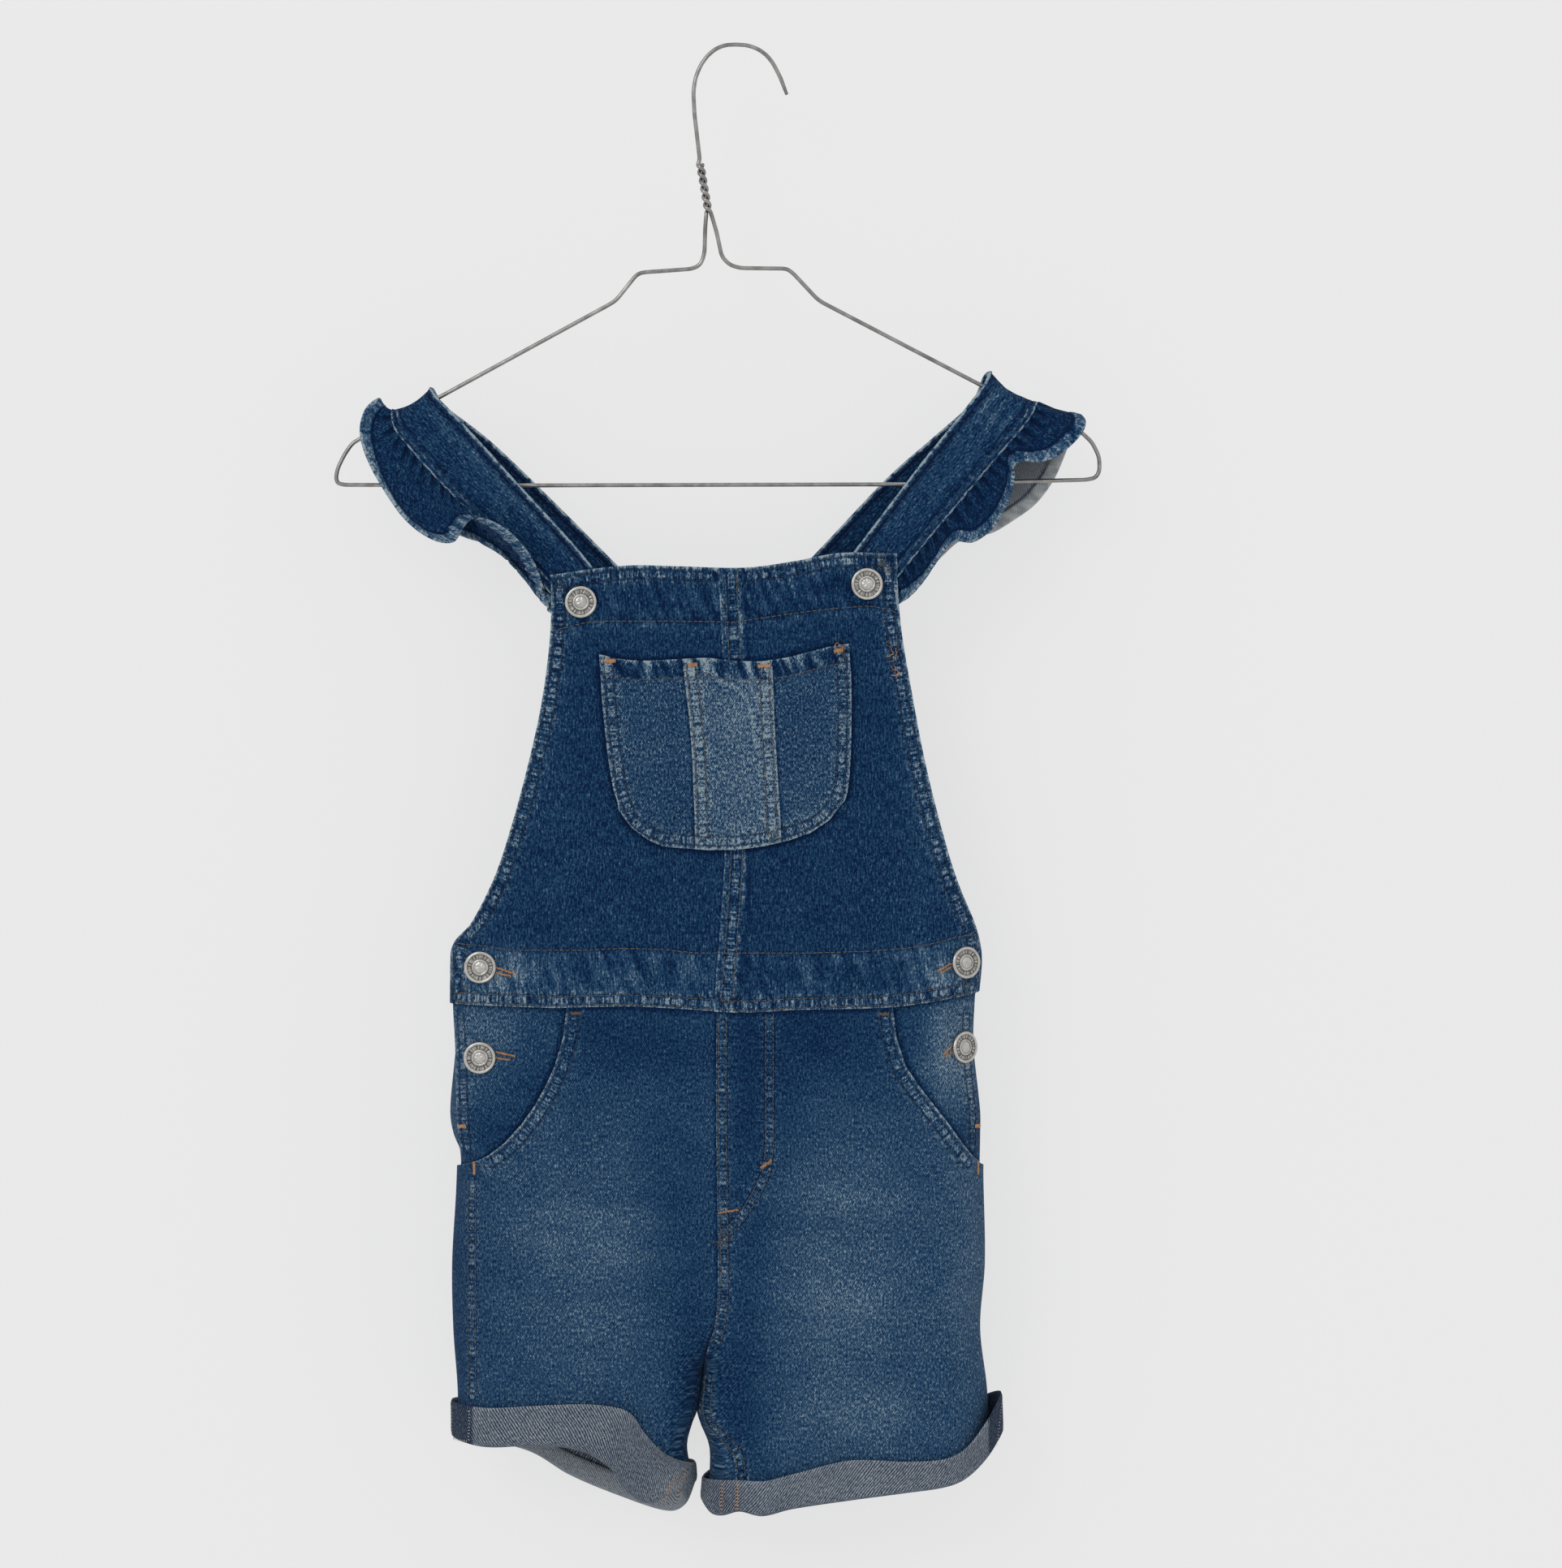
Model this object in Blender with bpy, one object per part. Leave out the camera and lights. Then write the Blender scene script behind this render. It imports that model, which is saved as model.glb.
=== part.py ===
# Child's denim shortalls with ruffled straps, hanging on a twisted wire hanger.
# The origin is where the hanger's hook rests on what holds it. X runs to the right as seen from the
# front, Y away from the front, Z up. Tables are in millimetres, and the mesh is in metres.

import math

import bmesh
import bpy
from mathutils import Vector

MM = 0.001

# Driving dimensions, in millimetres
WIRE_RADIUS = 1.1  # 13 gauge hanger wire
TWIST_TURNS = 3
WALL = 1.3  # one layer of denim with its seam allowance
STRAP_WALL = 2.2  # two layers
RUFFLE_WALL = 1.2
SEAM = 0.3  # gap between two pieces
LAYER = 2.1  # from one layer's face to the next one's
LAP = 14  # how far a placket runs on under the front's edge
BUTTON_RADIUS = 8.5
POCKET_LAP = 12
CROTCH_TOP, CROTCH = -640, -700
SIDE_SEAM_TOP = -596  # the buttoned side openings end here
HEM_LIFT = 9  # the leg ends this far above its cuff's fold
WAIST_GAP = 0.5  # the waist's seam is curved, so its pieces are a little further apart
# Shares of the way round at which each panel has a column, closer where it turns
FRONT_COLUMNS = (0, 0.055, 0.11, 0.17, 0.25, 0.36, 0.5, 0.64, 0.75, 0.83, 0.89, 0.945, 1)
BIB_COLUMNS = (0, 0.05, 0.1, 0.16, 0.24, 0.34, 0.45, 0.57, 0.7, 0.84, 1)
BEARER_COLUMNS = (0, 0.06, 0.13, 0.22, 0.33, 0.46, 0.62, 0.8, 1)
BACK_COLUMNS = (0, 0.05, 0.1, 0.155, 0.225, 0.325, 0.45, 0.58, 0.69, 0.77, 0.83, 0.88, 0.92, 0.96, 1)

LEFT, RIGHT = -1, 1
FRONT, BACK = -1, 1

# Columns: z, left edge, right edge, front panel's left edge, half depth, how far each side is turned back
BODY = [
    (-262, -98.5, 85.0, -98.5, 12.2, 0.0, 0.0),
    (-305, -97.4, 87.1, -97.4, 12.4, 0.0, 0.0),
    (-345, -101.7, 93.5, -101.7, 13.0, 0.0, 0.0),
    (-385, -110.3, 101.3, -110.3, 14.0, 0.0, 0.0),
    (-425, -121.5, 111.6, -121.5, 15.2, 0.0, 0.0),
    (-445, -128.9, 118.1, -128.9, 16.0, 0.1, 0.25),
    (-465, -140.0, 126.7, -139.2, 17.2, 0.5, 0.75),
    (-475, -150.6, 129.7, -148.6, 18.0, 0.9, 0.95),
    (-485, -153.4, 130.8, -150.3, 18.4, 1.0, 1.0),
    (-507, -153.0, 129.0, -151.2, 19.0, 1.0, 1.0),
    (-530, -152.6, 128.4, -149.8, 20.5, 1.0, 1.0),
    (-565, -155.6, 131.9, -148.2, 22.5, 1.0, 1.0),
    (-577, -154.0, 131.9, -147.5, 23.0, 1.0, 1.0),
    (-588, -149.6, 131.7, -146.8, 23.3, 1.0, 1.0),
    (-598, -148.0, 131.5, -147.4, 23.6, 1.0, 1.0),
    (-645, -150.4, 132.3, -149.8, 24.0, 1.0, 1.0),
    (-680, -149.8, 129.8, -149.2, 23.6, 1.0, 1.0),
    (-715, -147.4, 133.6, -146.8, 23.0, 1.0, 1.0),
    (-785, -147.0, 134.5, -146.4, 24.0, 1.0, 1.0),
]
# Columns: z, width of the turn at the left side, at the right side
TURN = [(-440, 14, 26), (-520, 15, 26), (-620, 24, 27), (-785, 26, 28)]
# Columns: z, left piece's inner edge, right piece's inner edge, right leg's inseam
CENTRE = [
    (-262, -8.5, -8.5, -8.5),
    (-330, -5, -5, -5),
    (-425, -4, -4, -4),
    (-475, -7, -7, -7),
    (-510, -9.5, -9.5, -9.5),
    (-560, -10, -10, -10),
    (-650, -9, -9, -9),
    (-675, -10.5, -10.5, -10.5),
    (-690, -14.7, -14.7, -14.7),
    (-700, -17.2, -16.8, -16.8),
    (-715, -20, -17.8, -17.2),
    (-730, -23.5, -16, -15),
    (-742, -26, -13.8, -3),
    (-755, -24.5, -13.4, 0),
    (-785, -23.5, -16, 1),
]
# Columns: x, bib's top edge, seam under the waist
TOP_AND_WAIST = [
    (-155, -283, -507),
    (-98, -281, -509.2),
    (-80, -278.5, -509),
    (-55, -276, -508.6),
    (-30, -276.5, -509.8),
    (5, -277.2, -511.8),
    (30, -274, -510.5),
    (55, -269.5, -510),
    (84, -269.7, -508.8),
    (110, -270, -505),
    (132, -270, -501),
]
# Columns: x, the back's seam under the waist
BACK_WAIST = [(-158, -504.8), (-80, -508.5), (-10, -510), (60, -506.5), (134, -498.6)]
# Columns: z, left front pocket's opening, right one's
SIDE_POCKET = [
    (-505, -88.3, 82.6),
    (-525, -90.6, 84.8),
    (-540, -95, 89.8),
    (-550, -99.5, 96.5),
    (-560, -105, 104.3),
    (-570, -112, 112.3),
    (-580, -121, 119.5),
    (-587, -130, 125),
    (-590, -137, 128),
    (-593, -147.2, 131.0),
]
# Columns: x, top of the turned-up cuff, its fold, how far it stands off the leg
CUFFS = {
    (LEFT, FRONT): [
        (-147, -718, -738, 2.6),
        (-130, -719, -740, 2.2),
        (-100, -717.5, -739, 2.0),
        (-80, -717, -742, 2.2),
        (-68, -718.5, -749, 3.0),
        (-58, -722, -762, 3.2),
        (-47, -733, -769, 3.0),
        (-36, -744, -766, 2.6),
        (-24, -751, -762, 2.2),
    ],
    (LEFT, BACK): [
        (-147, -718, -738, 2.6),
        (-130, -722, -744, 2.2),
        (-110, -728, -750, 2.2),
        (-90, -739, -762, 2.2),
        (-60, -749, -774.5, 2.6),
        (-38, -753, -781, 2.8),
        (-29, -752, -777, 2.6),
        (-24, -751, -762, 2.2),
    ],
    (RIGHT, FRONT): [
        (-15, -759, -771, 2.6),
        (-9, -758, -777, 2.6),
        (3, -757, -774, 2.2),
        (15, -757, -776, 3.2),
        (30, -753.5, -772.5, 2.4),
        (60, -746.5, -768, 2.2),
        (90, -747, -764, 2.2),
        (110, -745.5, -761, 2.6),
        (120, -740, -757, 3.4),
        (128, -728, -748, 5.0),
        (134, -714, -736, 6.6),
    ],
    (RIGHT, BACK): [
        (-15, -759, -771, 2.6),
        (0, -752, -772, 2.4),
        (60, -742, -764, 2.2),
        (110, -732, -754, 3.0),
        (134, -714, -736, 6.6),
    ],
}
# Columns: face, x1, z1, x2, z2, half width, height
FOLDS = [
    (FRONT, -128, -622, -52, -634, 9, 1.3),
    (FRONT, -120, -664, -40, -652, 10, 1.4),
    (FRONT, 20, -604, 96, -618, 9, 1.2),
    (FRONT, 14, -668, 104, -656, 11, 1.5),
    (FRONT, -64, -560, -58, -720, 14, -1.6),
    (FRONT, 58, -560, 62, -730, 16, -1.4),
    (FRONT, -92, -440, -60, -490, 12, 1.0),
    (FRONT, 40, -440, 70, -490, 12, 1.0),
    (BACK, -110, -600, -30, -640, 14, 1.8),
    (BACK, 100, -600, 20, -640, 14, 1.8),
]
# Columns: x, z of each place on the wire's centre line, from the tip of the hook
HOOK = [
    (27.2, -25.5), (23.8, -16.5), (20, -9), (16.5, -4.6), (12, -1.3), (6.4, 0.7), (0, 1.1),
    (-5.6, 0.8), (-10.6, -1.2), (-15, -4.9), (-18.6, -10), (-21.3, -16.6), (-22.4, -24),
    (-21.8, -36), (-20.4, -48), (-19, -60),
]
TWIST = ((-18.8, -62.5), (-14.3, -88.6))
FRAME_WIRE = [
    (-16.1, -95.6), (-16.5, -109.6), (-18, -114.4), (-20.2, -116.8), (-24, -118.1), (-49.4, -119.9),
    (-52.6, -121.2), (-63, -134.2), (-66, -136.4), (-156.7, -185.9), (-197.4, -207.2),
    (-203.4, -210.6), (-207.6, -216.6), (-211.2, -224), (-212.1, -229), (-211.2, -231.8),
    (-207.6, -232.7), (-114.7, -233), (90, -232.4), (186, -230), (191, -229), (193.2, -225.4),
    (193, -218), (189.5, -210.5), (183.9, -205), (131.2, -180.3), (45.5, -135.6), (42.5, -133.2),
    (30.4, -120.2), (27, -117.9), (2.6, -117.6), (-3, -116), (-7.3, -111.6), (-10.1, -98.4),
]
# Columns: share of the strap's length, y, inner edge's x and z, outer edge's x and z
STRAPS = {
    LEFT: [
        (0.00, -9.0, -65.6, -295.6, -86.4, -314.4),
        (0.10, -9.2, -76, -276, -99, -290),
        (0.28, -9.4, -119, -228, -139, -250),
        (0.38, -9.2, -140.5, -204.4, -163, -225),
        (0.45, -7.6, -156, -188.5, -180, -205),
        (0.48, -4.4, -159.8, -185.6, -182.6, -198.8),
        (0.50, 0.0, -160.5, -184.9, -183, -196.7),
        (0.52, 4.4, -159, -186.0, -182, -198.6),
        (0.55, 7.6, -155, -190, -178, -205),
        (0.65, 9.4, -131, -208.5, -151, -230),
        (0.78, 10.2, -99, -239, -119, -259),
        (0.90, 11.4, -62, -276, -82, -296),
        (1.00, 12.2, -27, -311, -47, -331),
    ],
    RIGHT: [
        (0.00, -9.0, 46, -289.3, 68, -306.7),
        (0.10, -9.2, 63, -268, 88, -280),
        (0.28, -9.4, 98, -222, 122, -239),
        (0.38, -9.2, 117, -198.5, 143, -214),
        (0.45, -7.6, 128.5, -184, 156, -198.5),
        (0.48, -4.4, 133, -179.6, 159, -193.0),
        (0.50, 0.0, 134, -178.5, 160, -191.0),
        (0.52, 4.4, 131, -179.4, 157, -192.6),
        (0.55, 7.6, 126, -188, 151, -202),
        (0.65, 9.4, 106, -206, 129, -222),
        (0.78, 10.2, 80, -229, 101, -247),
        (0.90, 11.4, 42, -269, 63, -288),
        (1.00, 12.2, 3, -309, 24, -329),
    ],
}
# How far the fold over the wire stands up at the strap's inner and outer edges
STRAP_CURL = {LEFT: (3.6, 3.0), RIGHT: (6.0, 1.0)}
# Columns: share of the strap's length, x, y and z of the ruffle's hem
RUFFLES = {
    LEFT: [
        (0.10, -100.5, -10, -297),
        (0.15, -102, -15, -284),
        (0.20, -108, -19, -271),
        (0.25, -118, -21, -259.5),
        (0.30, -130, -20, -252.5),
        (0.335, -139, -16, -252),
        (0.355, -144, -12, -257),
        (0.375, -149, -13, -264),
        (0.395, -160, -16, -261.5),
        (0.415, -173, -18, -251),
        (0.435, -186, -18, -234),
        (0.455, -195, -16, -217),
        (0.47, -198, -13, -204),
        (0.485, -195, -8, -192),
        (0.50, -189, 0, -186.5),
        (0.515, -191, 8, -192),
        (0.54, -189, 14, -210),
        (0.58, -177, 12, -235),
        (0.62, -161, 17, -252),
        (0.66, -147, 12, -259),
        (0.70, -135, 16, -263),
        (0.75, -122, 12, -271),
        (0.80, -111, 15, -283),
        (0.85, -103, 12, -297),
    ],
    RIGHT: [
        (0.10, 89, -10, -292.5),
        (0.15, 93, -14, -284),
        (0.19, 100, -17, -273),
        (0.225, 110, -13, -263),
        (0.25, 119, -14, -263),
        (0.28, 130, -18, -251),
        (0.32, 139, -20, -240),
        (0.35, 144, -18, -229),
        (0.375, 147, -13, -221),
        (0.40, 158, -14, -219),
        (0.43, 172, -14, -212.5),
        (0.46, 183, -10, -206),
        (0.485, 186, -5, -200),
        (0.50, 183, 0, -195.5),
        (0.52, 182, 7, -203),
        (0.56, 172, 14, -218),
        (0.60, 164, 10, -231),
        (0.64, 154, 15, -242),
        (0.68, 147, 11, -251),
        (0.72, 136, 15, -259),
        (0.77, 122, 11, -266),
        (0.82, 108, 14, -279),
        (0.86, 98, 12, -292),
    ],
}
# Columns: z, bib pocket's left edge, left seam, right seam, right edge
POCKET = [
    (-316, -72.2, -28.8, 18.8, 59.9),
    (-337, -71, -26.6, 19.8, 61.2),
    (-355, -69.6, -24.4, 20.5, 61.3),
    (-378, -67, -22.6, 21.7, 60.8),
    (-395, -64.1, -21.9, 22.8, 59.3),
    (-404, -61.6, -21.5, 23.4, 57),
    (-428, -61.6, -21, 24.4, 57),
]
# Columns: x, bib pocket's top edge and bottom edge
POCKET_ENDS = [
    (-72, -323, -404),
    (-61.6, -325.4, -405),
    (-54.7, -326.2, -414.6),
    (-46, -326.4, -421),
    (-37.6, -326, -424.6),
    (-15, -324.8, -426.4),
    (0, -326.6, -426.3),
    (14, -326.8, -424.6),
    (28, -324.6, -421.4),
    (39.6, -321.6, -417.4),
    (49.6, -319, -410.6),
    (57, -317.8, -401),
    (61, -317.4, -398),
]
# Columns: name, x, z, the layer it is fixed to
BUTTONS = [
    ("button_bib_left", -81.5, -295.5, 0),
    ("button_bib_right", 69.5, -286, 0),
    ("button_waist_left", -134.2, -488, 0),
    ("button_waist_right", 121, -485.6, 0),
    ("button_hip_left", -134.4, -535.6, 1),
    ("button_hip_right", 121.6, -530.4, 1),
]
# Columns: radius as a share of the button's, height over the cloth
BUTTON_PROFILE = [
    (0.80, 0.6), (1.00, 1.3), (0.98, 2.2), (0.90, 2.6), (0.78, 2.2), (0.48, 2.2), (0.42, 3.0),
]
# The back bib: z of its top, its left and right ends there, and where it meets the waistband
BACK_BIB_TOP, BACK_BIB_LEFT, BACK_BIB_RIGHT = -319, -62, 40
BACK_WAIST_TOP, BACK_WAIST_LEFT, BACK_WAIST_RIGHT = -474, -139, 119

# Colour, roughness and metallic of each material
DENIM = (0.045, 0.105, 0.205), 0.85, 0.0
WORN_DENIM = (0.085, 0.17, 0.29), 0.85, 0.0
CUFF_DENIM = (0.24, 0.30, 0.38), 0.9, 0.0
STEEL = (0.58, 0.57, 0.55), 0.3, 1.0
BUTTON_METAL = (0.62, 0.62, 0.63), 0.35, 1.0


def mix(a, b, share):
    return a + (b - a) * share


def clamp(value, low=0.0, high=1.0):
    return max(low, min(high, value))


def look_up(table, key, column, smooth=False):
    """One column of a table at a key between its rows. The first column rises or falls."""
    rows = table if table[0][0] < table[-1][0] else table[::-1]
    key = clamp(key, rows[0][0], rows[-1][0])
    i = next(i for i in range(len(rows) - 1) if key <= rows[i + 1][0])
    a, b = rows[i], rows[i + 1]
    t = (key - a[0]) / (b[0] - a[0])
    if not smooth:
        return mix(a[column], b[column], t)
    before, after = rows[max(i - 1, 0)], rows[min(i + 2, len(rows) - 1)]
    step = b[0] - a[0]
    start = (b[column] - before[column]) / (b[0] - before[0]) * step
    end = (after[column] - a[column]) / (after[0] - a[0]) * step
    return (
        (2 * t**3 - 3 * t**2 + 1) * a[column]
        + (t**3 - 2 * t**2 + t) * start
        + (3 * t**2 - 2 * t**3) * b[column]
        + (t**3 - t**2) * end
    )


def fold(face, x, z):
    """How far the cloth stands out at a place, from the table of folds."""
    out = 0.0
    for which, x1, z1, x2, z2, half, height in FOLDS:
        if which != face:
            continue
        dx, dz = x2 - x1, z2 - z1
        share = clamp(((x - x1) * dx + (z - z1) * dz) / (dx * dx + dz * dz))
        away = math.hypot(x - x1 - dx * share, z - z1 - dz * share) / half
        out += height * math.exp(-away * away)
    return out


def outer_x(side, z):
    return look_up(BODY, z, 1 if side == LEFT else 2, smooth=True)


def inner_x(side, z):
    return look_up(CENTRE, z, 1 if side == LEFT else 2, smooth=True) + side * SEAM / 2


def skin(side, face, x, z, inset=0.0):
    """A point of one side's cloth at x and z, moved in by inset along the cloth's normal there."""
    depth = look_up(BODY, z, 4, smooth=True)
    turn = look_up(TURN, z, 1 if side == LEFT else 2)
    turned = look_up(BODY, z, 5 if side == LEFT else 6)
    turned_in = clamp((CROTCH_TOP - z) / (CROTCH_TOP - CROTCH))
    from_outside = clamp(1 - abs(outer_x(side, z) - x) / turn) * turned
    from_inside = clamp(1 - abs(x - inner_x(side, z)) / turn) * turned_in
    level = math.sqrt(1 - from_outside**2) * math.sqrt(1 - from_inside**2)
    normal = Vector((side * depth / turn * (from_outside * turned - from_inside * turned_in), face * level, 0))
    normal.normalize()
    stand = fold(face, x, z) * level
    y = face * max(depth * level + stand, SEAM / 2)
    point = Vector((x, y, z)) - inset * normal
    if abs(y) > 1:
        return point
    point.y = face * max(face * point.y, SEAM / 2)
    return point


def round_at(side, share, z):
    """Face and x at a share of the way round one side: 0 to 1 is its front from outside in, 1 to 2 its back."""
    share %= 2
    face = FRONT if share < 1 else BACK
    way = (1 - math.cos(math.pi * share)) / 2
    return face, mix(outer_x(side, z), inner_x(side, z), way)


def share_at(side, x, z):
    """The share round the front at which it has this x."""
    start, end = outer_x(side, z), inner_x(side, z)
    return math.acos(1 - 2 * clamp((x - start) / (end - start))) / math.pi


def clear_scene():
    for thing in list(bpy.data.objects):
        bpy.data.objects.remove(thing, do_unlink=True)


def material(name, colour, roughness, metallic):
    made = bpy.data.materials.get(name) or bpy.data.materials.new(name)
    made.use_nodes = True
    shader = made.node_tree.nodes["Principled BSDF"]
    shader.inputs["Base Color"].default_value = (*colour, 1)
    shader.inputs["Roughness"].default_value = roughness
    shader.inputs["Metallic"].default_value = metallic
    return made


def add_mesh(name, points, faces, look, smooth=True):
    mesh = bpy.data.meshes.new(name)
    mesh.from_pydata([Vector(p) * MM for p in points], [], faces)
    shaper = bmesh.new()
    shaper.from_mesh(mesh)
    bmesh.ops.recalc_face_normals(shaper, faces=shaper.faces)
    bmesh.ops.triangulate(shaper, faces=shaper.faces)
    shaper.to_mesh(mesh)
    shaper.free()
    mesh.polygons.foreach_set("use_smooth", [smooth] * len(mesh.polygons))
    mesh.materials.append(material(*look))
    thing = bpy.data.objects.new(name, mesh)
    shortalls.objects.link(thing)
    return thing


def add_wall(name, outer, inner, look, ring=False):
    """One closed wall between two grids of points that match. A ring's last column meets its first."""
    rows, columns = len(outer), len(outer[0])
    points = [p for grid in (outer, inner) for row in grid for p in row]

    def at(layer, row, column):
        return (layer * rows + row) * columns + column % columns

    steps = range(columns if ring else columns - 1)
    faces = []
    for row in range(rows - 1):
        for column in steps:
            here = [(row, column), (row, column + 1), (row + 1, column + 1), (row + 1, column)]
            faces.append([at(0, *place) for place in here])
            faces.append([at(1, *place) for place in reversed(here)])
    for row in (0, rows - 1):
        for column in steps:
            faces.append([at(0, row, column), at(1, row, column), at(1, row, column + 1), at(0, row, column + 1)])
    for column in () if ring else (0, columns - 1):
        for row in range(rows - 1):
            faces.append([at(0, row, column), at(1, row, column), at(1, row + 1, column), at(0, row + 1, column)])
    return add_mesh(name, points, faces, look)


def add_panel(name, side, rows, columns, edges, start, end, look, layer=lambda x, z, share: 0.0):
    """A panel of the body: its edges and levels over x from the top down, and its two ends as shares round."""
    outer, inner = [], []
    for t in rows:
        outer.append([])
        inner.append([])
        part = min(int(t), len(edges) - 2)
        for s in columns:
            face, x = FRONT if end(-600) <= 1 else BACK, outer_x(side, -600) * 0.6
            for _ in range(8):
                z = mix(edges[part](face, x), edges[part + 1](face, x), t - part)
                share = mix(start(z), end(z), s)
                face, x = round_at(side, share, z)
            inset = layer(x, z, share)
            outer[-1].append(skin(side, face, x, z, inset))
            inner[-1].append(skin(side, face, x, z, inset + WALL))
    return add_wall(name, outer, inner, look)


def even(count):
    return [i / (count - 1) for i in range(count)]


# The edges that panels share

def bib_top(x):
    return look_up(TOP_AND_WAIST, x, 1, smooth=True)


def waist_seam(x):
    return look_up(TOP_AND_WAIST, x, 2, smooth=True)


def back_waist_seam(x):
    return look_up(BACK_WAIST, x, 1, smooth=True)


def side_edge(side, z):
    """x of the front's edge, which faces the front at the left and the side at the right."""
    return look_up(BODY, z, 3, smooth=True) if side == LEFT else outer_x(side, z) - 0.4


def front_start(side):
    return lambda z: share_at(side, side_edge(side, z) - side * SEAM / 2, z)


def seam_end(side):
    """The back's end: it laps under the front down to the side seam's top, and meets the front below it."""

    def end(z):
        lap = mix(-SEAM / 2, LAP, clamp((z - SIDE_SEAM_TOP + 6) / 8))
        return 2 + share_at(side, side_edge(side, z) - side * lap, z)

    return end


def lap_layer(side, depth):
    """Moves the back in by the given depth where it turns to lap under the front."""

    def layer(x, z, share):
        return depth * clamp((share - 1.9) / 0.08) * clamp((z - SIDE_SEAM_TOP + 12) / 6)

    return layer


def leg_levels(side, top):
    """A leg panel's top edge, the level of the crotch, and the edge inside its cuff."""

    def hem(face, x):
        return look_up(CUFFS[side, face], x, 2, smooth=True) + HEM_LIFT

    return (lambda face, x: top(x) - WAIST_GAP / 2), (lambda face, x: CROTCH), hem


def inseam_share(side, z):
    """Where the leg's front meets its back inside: at its edge, or on its front on the right leg."""
    if side == LEFT or z > CROTCH:
        return 1.0
    return share_at(side, look_up(CENTRE, z, 3, smooth=True), z)


def past_inseam(side, z, gap):
    """The inseam's share, moved by a gap along the cloth."""
    share = inseam_share(side, z)
    if share > 1 - 1e-9:
        return share + math.copysign(1e-6, gap)
    return clamp(share + gap / abs(outer_x(side, z) - inner_x(side, z)) * 2 / math.pi / math.sin(math.pi * share))


def add_hanger():
    (x1, z1), (x2, z2) = TWIST
    axis = Vector((x2 - x1, 0, z2 - z1))
    across = Vector((-axis.z, 0, axis.x)).normalized()
    around = WIRE_RADIUS + SEAM / 2
    count = 9 * TWIST_TURNS

    def strand(phase):
        for i in range(count + 1):
            turn = phase + 2 * math.pi * TWIST_TURNS * i / count
            middle = Vector((x1, 0, z1)) + axis * (i / count)
            yield middle + around * (math.cos(turn) * across + math.sin(turn) * Vector((0, 1, 0)))

    first, second = list(strand(math.pi)), list(strand(0))
    route = [Vector((x, 0, z)) for x, z in HOOK] + first
    route += [Vector((x, 0, z)) for x, z in FRAME_WIRE] + second[::-1]
    curve = bpy.data.curves.new("hanger", "CURVE")
    curve.dimensions = "3D"
    curve.bevel_depth = WIRE_RADIUS * MM
    curve.bevel_resolution = 2
    curve.use_fill_caps = True
    line = curve.splines.new("POLY")
    line.points.add(len(route) - 1)
    for place, at in zip(line.points, route):
        place.co = (*(at * MM), 1)
    curve.materials.append(material("hanger_wire", *STEEL))
    shortalls.objects.link(bpy.data.objects.new("hanger", curve))


def add_fronts():
    for side, name in ((LEFT, "left"), (RIGHT, "right")):
        add_panel(
            f"bib_{name}", side, even(14), BIB_COLUMNS,
            (lambda face, x: bib_top(x), lambda face, x: waist_seam(x) + WAIST_GAP / 2),
            front_start(side), lambda z: 1 - 1e-6, ("denim", *DENIM),
        )  # fmt: skip

        def edge(z, side=side):
            """The short's front starts at its pocket's opening, and below that at the side seam."""
            if z > SIDE_SEAM_TOP + 3:
                return share_at(side, look_up(SIDE_POCKET, z, 1 if side == LEFT else 2), z)
            return front_start(side)(z)

        rows = [0, 0.1, 0.18, 0.255, 0.32, 0.37, 0.4, 0.4125, 0.42, 0.4275, 0.434, 0.445]
        rows += [0.53, 0.63, 0.72, 0.81, 0.9, 0.96, 1, 1.25, 1.5, 1.75, 2]
        add_panel(
            f"front_{name}", side, rows, FRONT_COLUMNS, leg_levels(side, waist_seam),
            edge, lambda z, side=side: past_inseam(side, z, -SEAM / 2), ("worn_denim", *WORN_DENIM),
        )  # fmt: skip

        def under_front(z, side=side):
            opening = look_up(SIDE_POCKET, z, 1 if side == LEFT else 2)
            return share_at(side, opening - side * POCKET_LAP, z)

        add_panel(
            f"pocket_bearer_{name}", side, even(9), BEARER_COLUMNS,
            (lambda face, x: waist_seam(x) - WAIST_GAP / 2, lambda face, x: -603),
            front_start(side), under_front, ("worn_denim", *WORN_DENIM), layer=lambda x, z, share: LAYER,
        )  # fmt: skip


def add_backs():
    for side, name in ((LEFT, "left"), (RIGHT, "right")):
        rows = [0, 0.12, 0.245, 0.36, 0.433, 0.476, 0.508, 0.56, 0.63, 0.72, 0.81, 0.9, 0.96, 1, 1.25, 1.5, 1.75, 2]
        add_panel(
            f"back_{name}", side, rows, BACK_COLUMNS, leg_levels(side, back_waist_seam),
            lambda z, side=side: past_inseam(side, z, SEAM / 2), seam_end(side), ("worn_denim", *WORN_DENIM),
            layer=lap_layer(side, 2 * LAYER + 0.6),
        )  # fmt: skip


def add_back_waist():
    """The waistband runs round the back from one lap to the other, in one piece."""
    rows, outer, inner = even(4), [], []
    for t in rows:
        outer.append([])
        inner.append([])
        for side, shares in ((LEFT, BACK_COLUMNS[::-1]), (RIGHT, BACK_COLUMNS[1:])):
            end, layer = seam_end(side), lap_layer(side, LAYER)
            for s in shares:
                x = outer_x(side, -490) * 0.6
                for _ in range(8):
                    z = mix(BACK_WAIST_TOP, back_waist_seam(x) + WAIST_GAP / 2, t)
                    share = mix(1 + 1e-6, end(z), s)
                    face, x = round_at(side, share, z)
                inset = layer(x, z, share)
                outer[-1].append(skin(side, face, x, z, inset))
                inner[-1].append(skin(side, face, x, z, inset + WALL))
    add_wall("waistband_back", outer, inner, ("denim", *DENIM))


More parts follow.
